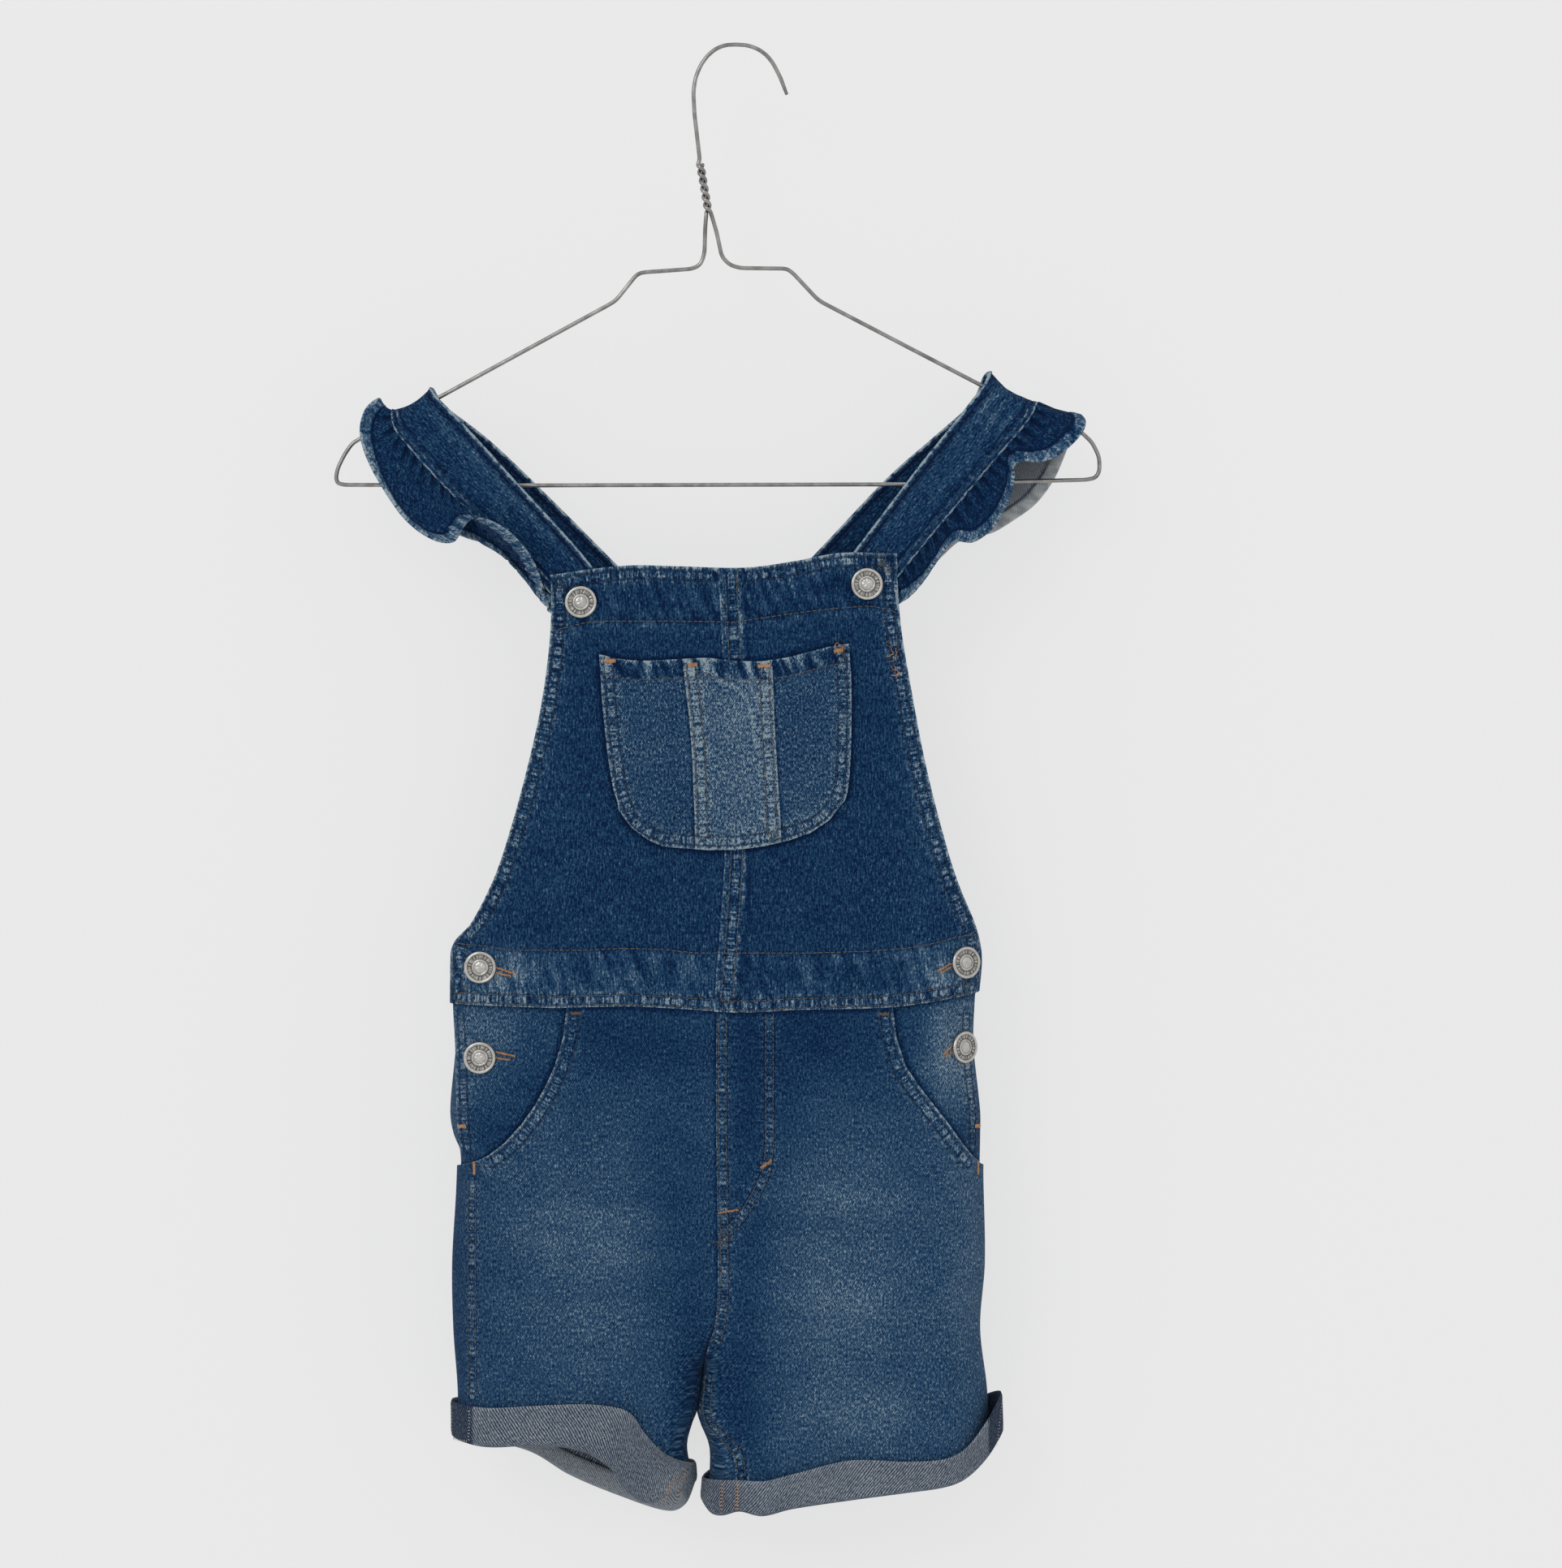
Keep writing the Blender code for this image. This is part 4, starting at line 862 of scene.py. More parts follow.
def makeFront(side, name):
    def start(z):
        mouth = shareAt(side, pocketMouth[side](z), z)
        return np.where(z > cut["sideSeamTop"] + 3, mouth, frontStart(side, z))

    def hem(face, x):
        return hemOf(side, face, x)

    edges = (lambda face, x: waistSeam(x) - cut["waistGap"] / 2, lambda face, x: cut["crotch"] + 0 * x, hem)
    upper = spreadAlong(190, shorts["step"])[:-3]
    lower = 1 + np.linspace(0, 1, 26)
    mouthRows = (np.linspace(-586, -600, 16) + 510) / -190  # closer where the mouth meets the side
    rows = np.unique(np.round(np.concatenate([upper, mouthRows, lower]), 5))
    columns = columnsFor(side, -640.0, frontStart(side, -640.0), 1 - 1e-6, shorts["step"])
    face, x, z, share = panelGrid(side, rows, columns, edges, start, lambda z: atInseam(side, z, front))
    grid = skin(side, face, x, z)
    mouthZ = zs(-512, -592, 4)
    twins = [beside(xzOf(pocketMouth[side](mouthZ), mouthZ), side * shorts["mouthBand"])]
    if side == right:
        frontZ = zs(-514, -690)
        legZ = zs(-704, -760, 4)
        twins += [np.array(shorts["fly"], float), xzOf(innerX(right, frontZ) + 3.6, frontZ), xzOf(inseam(legZ) + 3.4, legZ)]
    else:
        twins += [xzOf(-138.5 + 0 * zs(-600, -716), zs(-600, -716))]
    band, along = nearestLine(grid, [lay(side, line)[0] for line in twins])
    tone = patches(x, z, shorts["tone"], shorts["spots"][side]) + borderTone(grid, shorts["borders"][side])
    for px, pz, reach, lean, amount in [(-80, -618, 50, 6, 0.07), (-78, -634, 46, 7, 0.06), (-84, -655, 44, 7, -0.06),
                                        (60, -606, 40, 5, 0.06), (58, -626, 44, 6, -0.05), (60, -664, 44, 8, 0.06)]:
        tone = tone + amount * np.exp(-(((x - px) / reach) ** 4) - ((z - pz + (x - px) * 0.1) / lean) ** 2)
    values = {"cloth": grainOf(grid, side), "fade": tone, "band": band, "along": along, "pucker": 0 * x}
    shell(f"front_{name}_cloth", lambda inset: skin(side, face, x, z, inset), cut["wall"], values,
          [wornDenim, wrongSide], (f"front_{name}",))
    for number, line in enumerate(twins):
        half = 3.0 if number == 0 else 2.0
        for off in (-half, half):
            points, normals = lay(side, beside(line, off))
            sew(f"front_{name}", "navy" if number == 0 else "tan", points, normals, thick=0.5)


def makeBearer(side, name):
    # Pocket bearer and button placket under the front's edge
    rows = spreadAlong(95, 1.8)
    s = columnsFor(side, -540.0, frontStart(side, -540.0), shareAt(side, pocketMouth[side](-540.0), -540.0), 1.8)

    def end(z):
        return shareAt(side, pocketMouth[side](z) - side * cut["pocketLap"], z)

    edges = (lambda face, x: waistSeam(x) - cut["waistGap"] / 2, lambda face, x: -603 + 0 * x)
    face, x, z, share = panelGrid(side, rows, s, edges, lambda z: frontStart(side, z), end)
    grid = skin(side, face, x, z, cut["layer"])
    edgeZ = zs(-512, -590)
    twins = [xzOf(sideEdge(side, edgeZ) - side * 4.6, edgeZ)]
    band, along = nearestLine(grid, [lay(side, line, cut["layer"])[0] for line in twins])
    spots = {left: [(-132, -521, 16, 22, 0.20), (-106, -545, 12, 22, -0.12), (-125, -574, 26, 13, -0.16)],
             right: [(114, -532, 17, 30, 0.32), (94, -520, 8, 22, -0.12), (124, -578, 14, 12, -0.14)]}[side]
    tone = patches(x, z, 0.38, spots)
    # Pale start edge from wear; painted shade darker along the top under the waist seam, and a dark line under the
    # pocket mouth's edge
    tone = tone + borderTone(grid, {"start": (0.34, 1.6), "top": (-0.2, 2.0)})
    mouth = np.abs(x - pocketMouth[side](z))
    tone = tone - 0.42 * np.exp(-((mouth / 2.4) ** 2))
    values = {"cloth": grainOf(grid, side), "fade": tone, "band": band, "along": along, "pucker": 0 * x}
    shell(f"pocket_bearer_{name}_cloth", lambda inset: skin(side, face, x, z, inset + cut["layer"]), cut["wall"], values,
          [wornDenim, wrongSide], (f"pocket_bearer_{name}",))
    for off in (-2.0, 2.0):
        points, normals = lay(side, beside(twins[0], off), cut["layer"])
        sew(f"pocket_bearer_{name}", "navy", points, normals)


def lapLayer(share, z, depth):
    return depth * clamp((share - 1.9) / 0.08) * clamp((z - cut["sideSeamTop"] + 12) / 6)


def makeBack(side, name):
    def start(z):
        return atInseam(side, z, back)

    edges = (lambda face, x: backWaistSeam(x) - cut["waistGap"] / 2, lambda face, x: cut["crotch"] + 0 * x,
             lambda face, x: hemOf(side, face, x))
    rows = np.concatenate([spreadAlong(195, 3.0)[:-3], 1 + np.linspace(0, 1, 26)])
    columns = columnsFor(side, -560.0, 1 + 1e-6, float(seamEnd(side, -560.0)), 2.6)
    face, x, z, share = panelGrid(side, rows, columns, edges, start, lambda z: seamEnd(side, z), True)
    grid = skin(side, face, x, z)
    layer = lapLayer(share, z, 2 * cut["layer"] + 0.6)
    seamZ = zs(-512, -690)
    felled = xzOf(innerX(side, seamZ) + 4.0, seamZ)
    plain = np.full(x.shape, 30.0), np.zeros(x.shape)
    band, along = nearestLine(grid, [lay(side, felled, face=back)[0]]) if side == right else plain
    spots = [(side * 62 - 10, -575, 45, 45, 0.14), (side * 62 - 10, -690, 50, 50, 0.06)]
    # The dark top border is painted shade under the waistband
    tone = patches(x, z, 0.44, spots) + borderTone(grid, {"top": (-0.2, 2.2), "start": (-0.12, 2.0), "end": (0.2, 1.6)})
    values = {"cloth": grainOf(grid, side), "fade": tone, "band": band, "along": along, "pucker": 0 * x}
    shell(f"back_{name}_cloth", lambda inset: skin(side, face, x, z, inset + layer), cut["wall"], values,
          [wornDenim, wrongSide], (f"back_{name}",))
    for off in (-2.4, 2.4) if side == right else ():
        points, normals = lay(side, beside(felled, off), face=back)
        sew(f"back_{name}", "tan", points, normals)


def makeBackWaist():
    # Back waistband, one piece from one lap to the other
    t = spreadAlong(33, 2.0)[:, None]
    halves = []
    for side in (left, right):
        s = columnsFor(side, -490.0, 1 + 1e-6, float(seamEnd(side, -490.0)), 2.6)
        s = s[::-1] if side == left else s[1:]
        x = np.full((len(t), len(s)), float(outerX(side, -490)) * 0.6)
        for _ in range(10):
            z = mix(-474.0, backWaistSeam(x) + cut["waistGap"] / 2, t)
            share = mix(1 + 1e-6, seamEnd(side, z), s[None, :])
            face, x = roundAt(side, share, z)
        halves.append((side, face, x, z, lapLayer(share, z, cut["layer"])))

    def at(inset):
        wide = [half[2].shape[1] for half in halves]
        parts = np.split(np.broadcast_to(inset, (len(t), sum(wide))), [wide[0]], 1)
        return np.concatenate([skin(side, face, x, z, part + layer)
                               for part, (side, face, x, z, layer) in zip(parts, halves)], 1)

    grid, inner = at(0.0), at(1.0)
    rows = [mix(grid[0], grid[-1], 0.12), mix(grid[0], grid[-1], 0.86)]
    band, along = nearestLine(grid, rows)
    tone = 0.40 + borderTone(grid, {"top": (0.32, 1.6), "bottom": (0.26, 1.4), "start": (0.3, 1.5), "end": (0.3, 1.5)})
    values = {"cloth": clothPlaces(grid, 0), "fade": tone, "band": band, "along": along, "pucker": 0 * tone}
    shell("waistband_back_cloth", at, cut["wall"], values, [deepDenim, wrongSide], ("waistband_back",))
    for share in (0.07, 0.17, 0.93):
        base, below = mix(grid[0], grid[-1], share), mix(inner[0], inner[-1], share)
        sew("waistband_back", "tan", base, unit(base - below))


# Back bib, from under the straps' ends down to the waistband
backBib = {"top": -319.0, "topLeft": -62.0, "topRight": 40.0, "foot": -474.0, "footLeft": -139.0, "footRight": 119.0}


def backBibPoint(t, s, inset=0.0):
    flare = t**1.6
    x1, x2 = mix(backBib["topLeft"], backBib["footLeft"], flare), mix(backBib["topRight"], backBib["footRight"], flare)
    z = mix(backBib["top"], backBib["foot"] + cut["seam"], t)
    depth = mix(15.6, bodyDepth(backBib["foot"]), t**2)
    return stack(mix(x1, x2, s), depth - inset, z)


def makeBackBib():
    t, s = spreadAlong(155, 2.0)[:, None], spreadAlong(200, 2.4)[None, :]
    grid = backBibPoint(t, s)
    run = np.linspace(0.02, 0.98, 60)
    lines = [backBibPoint(run, 0 * run + 4.5 / 180), backBibPoint(run, 0 * run + 1 - 4.5 / 180), backBibPoint(0 * run + 0.03, run),
             backBibPoint(run, 0 * run + 0.5)]
    band, along = nearestLine(grid, lines)
    tone = 0.36 + borderTone(grid, {"top": (0.34, 1.6), "start": (0.34, 1.6), "end": (0.34, 1.6), "bottom": (-0.2, 2.2)})
    values = {"cloth": clothPlaces(grid, 0), "fade": tone, "band": band, "along": along, "pucker": 0 * tone}
    shell("back_bib_cloth", lambda inset: backBibPoint(t + 0 * s, s + 0 * t, inset), cut["wall"], values,
          [deepDenim, wrongSide], ("back_bib",))
    up = np.array([0.0, 1.0, 0.0])
    for line in lines:
        for off in (-2.4, 2.4):
            row = resample(line, 2.0)
            way = unit(np.gradient(row, axis=0))
            moved = row + off * np.stack([-way[:, 2], 0 * way[:, 0], way[:, 0]], -1)
            sew("back_bib", "tan", moved, np.tile(up, (len(moved), 1)))


# Bib pocket: three pieces with two lapped seams
pocket = {
    # z, left edge, left seam, right seam, right edge
    "sides": [(-316, -72.2, -28.8, 18.8, 59.9), (-337, -71, -26.6, 19.8, 61.2), (-355, -69.6, -24.4, 20.5, 61.3),
              (-378, -67, -22.6, 21.7, 60.8), (-395, -64.1, -21.9, 22.8, 59.3), (-404, -61.6, -21.5, 23.4, 57),
              (-428, -61.6, -21, 24.4, 57)],
    # x, top edge, bottom edge
    "ends": [(-72, -323, -404), (-61.6, -325.4, -405), (-54.7, -326.2, -414.6), (-46, -326.4, -421), (-37.6, -326, -424.6),
             (-15, -324.8, -426.4), (0, -326.6, -426.3), (14, -326.8, -424.6), (28, -324.6, -421.4), (39.6, -321.6, -417.4),
             (49.6, -319, -410.6), (57, -317.8, -401), (61, -317.4, -398)],
    "tones": {"left": 0.345, "centre": 0.57, "right": 0.375},
    "stripOut": 0.7,
    "crease": ((-15, -8, 0, 8, 11), (-330, -338, -340, -350, -372)),  # x and z
}
pocketX = [curveOf(pocket["sides"], column) for column in (1, 2, 3, 4)]
pocketTop, pocketFoot = curveOf(pocket["ends"], 1, False), curveOf(pocket["ends"], 2, False)


def onBib(x, z, out=0.0):
    # A point out from the bib's face at x and z
    point = np.where((x < -6)[..., None], skin(left, front, x, z), skin(right, front, x, z))
    point[..., 1] -= out
    return point


def pocketRaise(x, z):
    # Felled strips: right of the left seam on the centre piece, left of the right seam on it too
    fromLeft, fromRight = x - pocketX[1](z), pocketX[2](z) - x
    inLeft = (fromLeft > 0) * (1 - ease((fromLeft - 7.6) / 1.2))
    inRight = (fromRight > 0) * (1 - ease((fromRight - 7.6) / 1.2))
    return pocket["stripOut"] * np.maximum(inLeft, inRight) * ((fromLeft > 0) & (fromRight > 0))


def pocketOutline():
    edgeZ, footX, topX = zs(-324, -404, 4), np.arange(-60, 56, 4.0), np.arange(-70, 60, 4.0)
    return [xzOf(pocketX[0](edgeZ), edgeZ), xzOf(footX, pocketFoot(footX)), xzOf(pocketX[3](edgeZ), edgeZ),
            xzOf(topX, pocketTop(topX))]


def makePocket():
    topX = np.arange(-70, 60, 4.0)
    topLine = xzOf(topX, pocketTop(topX) - 10.0)
    edgeZ = zs(-326, -400, 4)
    footX = np.arange(-62, 58, 4.0)
    outline = np.concatenate([xzOf(pocketX[0](edgeZ) + 4.6, edgeZ), xzOf(footX, pocketFoot(footX) + 4.6)[2:-2],
                              xzOf(pocketX[3](edgeZ[::-1]) - 4.6, edgeZ[::-1])])
    seamZ = zs(-328, -422, 4)
    strips = [xzOf(pocketX[1](seamZ) + 4.2, seamZ), xzOf(pocketX[2](seamZ) - 4.2, seamZ)]
    lines = [onBib(*line.T, 1.7) for line in (outline, *strips)]
    for number, name in enumerate(("left", "centre", "right")):
        t, s = spreadAlong(100, 1.5)[:, None], spreadAlong(44, 1.4)[None, :]
        z = np.full((t.size, s.size), -370.0)
        for _ in range(10):
            start = pocketX[number](z) + (cut["seam"] / 2 if number > 0 else 0)
            end = pocketX[number + 1](z) - (cut["seam"] / 2 if number < 2 else 0)
            x = mix(start, end, s)
            z = mix(pocketTop(x), pocketFoot(x), t)
        raised = pocketRaise(x, z) if number == 1 else 0 * x
        grid = onBib(x, z, 1.7)
        band, along = nearestLine(grid, lines)
        tone = pocket["tones"][name] + patches(x, z, 0, [(-45, -360, 18, 40, 0.06), (4, -356, 14, 30, 0.08), (42, -400, 14, 18, 0.08)])
        tone = tone - 0.12 * ease((pocketTop(x) - z < 10) * 1.0)
        crease, place = nearestLine(stack(x, 0, z), [stack(pocket["crease"][0], 0, pocket["crease"][1])])
        tone = tone + 0.22 * np.exp(-((crease / 1.2) ** 2)) - 0.16 * np.exp(-(((crease - 2.2) / 1.0) ** 2))
        borders = {"top": (0.46, 1.2), "bottom": (0.42, 1.2)}
        # A side piece's dark border at its seam is painted shade under the centre piece's lap; the pale borders are
        # worn edges
        borders["start"] = (0.42, 1.1) if number < 2 else (-0.42, 1.5)
        borders["end"] = (0.42, 1.1) if number > 0 else (-0.42, 1.5)
        tone = tone + borderTone(grid, borders)
        drawn = ease((10.5 - (pocketTop(x) - z)) / 1.5)
        values = {"cloth": stack(x, z, 0), "fade": tone, "band": band, "along": along, "pucker": drawn}
        shell(f"bib_pocket_{name}_cloth", lambda inset: onBib(x, z, cut["wall"] + 0.4 + raised - inset), cut["wall"], values,
              [pocketDenim, wrongSide], (f"bib_pocket_{name}",))
    facing = np.array([0.0, -1.0, 0.0])
    for line, half, thread in ((outline, 2.3, "navy"), (strips[0], 2.6, "tan"), (strips[1], 2.6, "tan"), (topLine, 0, "tan")):
        for off in (-half, half) if half else (0,):
            row = beside(line, off)
            points = onBib(*row.T, 1.7 + pocketRaise(*row.T))
            sew("bib_pocket_centre", thread, points, np.tile(facing, (len(points), 1)))


print("panels ready")
for side, name in ((left, "left"), (right, "right")):
    makeBib(side, name)
    makeFront(side, name)
    makeBearer(side, name)
    makeBack(side, name)
makeBackWaist()
makeBackBib()
makePocket()
print("bib, shorts and pocket made")

# Bartacks, buttonhole ends and loose threads: piece, thread, ends in x and z, stitch length
tacks = [
    ("bib_pocket_centre", "orange", -69, -326.5, -63, -326.5, 2.4), ("bib_pocket_centre", "orange", -25, -328.6, -20, -328.6, 2.4),
    ("bib_pocket_centre", "orange", 12, -329.4, 18.5, -329.4, 2.2), ("bib_pocket_centre", "orange", 52, -321.6, 57, -320.6, 2.6),
    ("front_left", "tan", -86.5, -512.2, -81, -512.2, 2.0), ("front_left", "orange", -146, -571.5, -141, -571.5, 2.0),
    ("front_left", "orange", -137.2, -590, -137.2, -597, 1.8), ("front_right", "tan", 75, -512.6, 81, -512.6, 2.0),
    ("front_right", "orange", 126.4, -572, 129.4, -572, 2.0), ("front_right", "orange", 128, -591, 128, -598, 1.8),
    ("front_right", "orange", 13.5, -593.2, 19.5, -589, 1.7), ("front_right", "orange", -9, -616.8, 2, -615, 1.1),
    ("bib_left", "orange", -126, -488, -115.2, -491.6, 1.2), ("bib_left", "orange", -126, -490.8, -117.6, -492.8, 1.1),
    ("bib_right", "orange", 114, -485.9, 106.4, -490.2, 1.2), ("bib_right", "orange", 113.6, -488, 108.4, -491, 1.0),
    ("pocket_bearer_left", "orange", -126, -532.6, -115.8, -534.8, 1.2), ("pocket_bearer_left", "orange", -126, -535.4, -118.4, -536.8, 1.1),
    ("pocket_bearer_right", "orange", 115.2, -529.6, 110, -534.4, 1.2), ("pocket_bearer_right", "orange", 115.2, -532.6, 111.4, -535.6, 1.0),
]
looseEnds = [
    ("bib_right", "orange", 84.5, -322, 2.6, 7), ("bib_right", "orange", 86.0, -332, 2.4, 6), ("bib_right", "tan", 84, -318, 3.0, 5),
    ("bib_right", "tan", 79, -275, 3.5, 12), ("bib_pocket_centre", "tan", 56, -322, 3.0, 8), ("bib_pocket_centre", "orange", 54, -319, 2.0, 4),
    ("front_right", "tan", -8.0, -631, 2.2, 8), ("bib_pocket_centre", "pale", -14, -329, 2.5, 3),
]


def sewnOn(piece, x, z, out=0.0):
    # Point and normal on a piece's face at x and z
    if piece == "bib_pocket_centre":
        point = onBib(x, z, 1.7 + pocketRaise(x, z) + out)
        return point, np.broadcast_to([0.0, -1.0, 0.0], point.shape)
    side = left if "left" in piece else right
    inset = (cut["layer"] if "bearer" in piece else 0.0) - (bibRaise(side, x, z) if "bib" in piece else 0.0) - out
    point = skin(side, front, x, z, inset)
    return point, unit(point - skin(side, front, x, z, inset + 1.0))


def makeTacks():
    for piece, thread, x1, z1, x2, z2, size in tacks:
        line = resample([(x1, z1), (x2, z2)], 1.0)
        points, normals = sewnOn(piece, line[:, 0], line[:, 1])
        sew(piece, thread, points, normals, step=0.55, length=size, thick=0.55, across=True, lift=0.3, shake=0.15)
    chance = np.random.default_rng(5)
    for piece, thread, x, z, spread, count in looseEnds:
        for _ in range(count):
            heading = chance.uniform(0, 2 * np.pi) + np.cumsum(chance.normal(0, 0.45, 7))
            steps = 0.7 * np.stack([np.cos(heading), np.sin(heading)], -1)
            line = np.array([x, z]) + chance.normal(0, spread / 2, 2) * [0.6, 1.4] + np.cumsum(steps, 0)
            line[:, 0] = np.minimum(line[:, 0], 86.3)
            points, normals = sewnOn(piece, line[:, 0], line[:, 1], 0.3)
            sew(piece, thread, points, normals, step=0.75, length=0.95, thick=0.3, lift=0.1, shake=0.05)


makeTacks()
print("tacks and loose ends made")

# Straps: share of the length, y, inner edge's x and z, outer edge's x and z
straps = {
    left: [
        (0.00, -9.0, -65.6, -295.6, -86.4, -314.4), (0.10, -9.2, -76, -276, -99, -290),
        (0.28, -9.4, -119, -228, -139, -250), (0.38, -9.2, -140.5, -204.4, -163, -225),
        (0.45, -7.6, -156, -188.5, -180, -205), (0.48, -4.4, -159.8, -185.6, -182.6, -198.8),
        (0.50, 0.0, -160.5, -184.9, -183, -196.7), (0.52, 4.4, -159, -186.0, -182, -198.6),
        (0.55, 7.6, -155, -190, -178, -205), (0.65, 9.4, -131, -208.5, -151, -230),
        (0.78, 10.2, -99, -239, -119, -259), (0.90, 11.4, -62, -276, -82, -296),
        (1.00, 12.2, -27, -311, -47, -331),
    ],
    right: [
        (0.00, -9.0, 46, -289.3, 68, -306.7), (0.10, -9.2, 63, -268, 88, -280),
        (0.28, -9.4, 98, -222, 122, -239), (0.38, -9.2, 117, -198.5, 143, -214),
        (0.45, -7.6, 128.5, -184, 156, -198.5), (0.48, -4.4, 133, -179.6, 159, -193.0),
        (0.50, 0.0, 134, -178.5, 160, -191.0), (0.52, 4.4, 131, -179.4, 157, -192.6),
        (0.55, 7.6, 126, -188, 151, -202), (0.65, 9.4, 106, -206, 129, -222),
        (0.78, 10.2, 80, -229, 101, -247), (0.90, 11.4, 42, -269, 63, -288),
        (1.00, 12.2, 3, -309, 24, -329),
    ],
}
strapCurl = {left: (3.6, 3.0), right: (6.0, 1.0)}
strapCurves = {side: [curveOf(rows, column) for column in range(1, 6)] for side, rows in straps.items()}


# Lines along the edges: edge, distance, width, amount; pale lines are worn edges and ridges, dark lines painted shade
# in the grooves by the piping and the stitching. Creases: across, share, reach, amount
strapLook = {
    "tone": 0.19,
    "back": -0.06,
    "lines": [("inner", 0.7, 0.9, 0.96), ("inner", 2.6, 0.9, -0.60), ("inner", 4.6, 0.6, -0.16), ("inner", 6.4, 1.2, 0.10),
              ("outer", 0.6, 0.7, 0.84), ("outer", 2.3, 0.8, -0.60), ("outer", 3.8, 0.8, 0.80), ("outer", 5.4, 0.9, -0.50)],
    "spots": {left: [(0.36, 0.22, 0.07, 0.14, 0.12), (0.24, 0.24, 0.10, 0.14, 0.22), (0.40, 0.75, 0.05, 0.2, 0.07),
                     (0.16, 0.6, 0.08, 0.3, -0.06)],
              right: [(0.40, 0.3, 0.08, 0.2, 0.10), (0.22, 0.35, 0.10, 0.3, 0.10), (0.33, 0.7, 0.05, 0.2, 0.06)]},
    "creases": {left: [(0.55, 0.27, 0.05, 0.8), (0.72, 0.22, 0.05, 0.7), (0.35, 0.40, 0.04, 0.5)],
                right: [(0.30, 0.44, 0.05, 0.9), (0.52, 0.42, 0.06, 1.1), (0.74, 0.43, 0.05, 1.0), (0.6, 0.28, 0.05, 0.6)]},
}


def strapPoint(side, share, across):
    # A point of the strap's middle: across is 0 at its inner edge and 1 at its outer edge
    y, x1, z1, x2, z2 = (read(share) for read in strapCurves[side])
    near = np.exp(-(((share - 0.5) / 0.028) ** 2))
    atInner, atOuter = strapCurl[side]
    curl = near * (atInner * clamp(1 - 2 * across) ** 2 + atOuter * clamp(2 * across - 1) ** 2)
    return stack(mix(x1, x2, across), y, mix(z1, z2, across) + curl)


def stripNormal(place, share, across):
    along = place(np.minimum(share + 0.002, 1), across) - place(np.maximum(share - 0.002, 0), across)
    over = place(share, np.minimum(across + 0.05, 1)) - place(share, np.maximum(across - 0.05, 0))
    return unit(np.cross(along, over))


def makeStrap(side, name):
    share, across = np.meshgrid(spreadAlong(300, 1.7), spreadAlong(29, 1.5, (0.3, 0.8, 1.5)), indexing="ij")
    middle = strapPoint(side, share, across)
    normal = stripNormal(lambda a, b: strapPoint(side, a, b), share, across)
    over = lengthsOf(middle, 1)
    width = over[:, -1:]
    nearEdge = np.minimum(over, width - over)
    fromOuter = width - over
    piping = 0.6 * np.exp(-(((over - 1.0) / 0.8) ** 2)) - 0.3 * np.exp(-(((over - 2.6) / 0.7) ** 2))
    piping = piping + 0.35 * np.exp(-(((fromOuter - 1.0) / 0.8) ** 2)) - 0.25 * np.exp(-(((fromOuter - 2.4) / 0.7) ** 2))
    run = lengthsOf(middle, 0)
    tone = strapLook["tone"] + strapLook["back"] * ease((share - 0.5) / 0.03)
    for where, off, spread, amount in strapLook["lines"]:
        tone = tone + amount * uneven(run * 0.7, off) * np.exp(-((((over if where == "inner" else fromOuter) - off) / spread) ** 2))
    tone = tone + patches(share, across, 0, strapLook["spots"][side])
    creases = sum(amount * np.exp(-(((across - at - 0.05 * np.sin(share * 40)) / 0.05) ** 2) - ((share - mid) / reach) ** 2)
                  for at, mid, reach, amount in strapLook["creases"][side])
    tone = tone + 0.36 * creases
    middle = middle + normal * (0.9 * creases)[..., None] * (-1 if side == left else 1) * np.sign(normal[40, 5, 1])
    values = {"cloth": stack(over, run, 0), "fade": tone, "band": 30 + 0 * over, "along": run, "pucker": 0 * tone}
    thick = cut["strapWall"]
    shell(f"strap_{name}_cloth",
          lambda inset: middle + normal * (thick / 2 - inset + piping * (1 - 2 * (inset + 0 * share) / thick))[..., None],
          thick, values, [deepDenim], (f"strap_{name}",))
    run = np.linspace(0.01, 0.99, 170)
    for w in (2.6 / 29, 4.6 / 29, 1 - 2.4 / 29, 1 - 4.6 / 29):
        line = strapPoint(side, run, 0 * run + w)
        out = stripNormal(lambda a, b: strapPoint(side, a, b), run, 0 * run + w)
        for face in (1, -1):
            sew(f"strap_{name}", "navy", line + out * face * (thick / 2 - 0.2), out * face, thick=0.45)


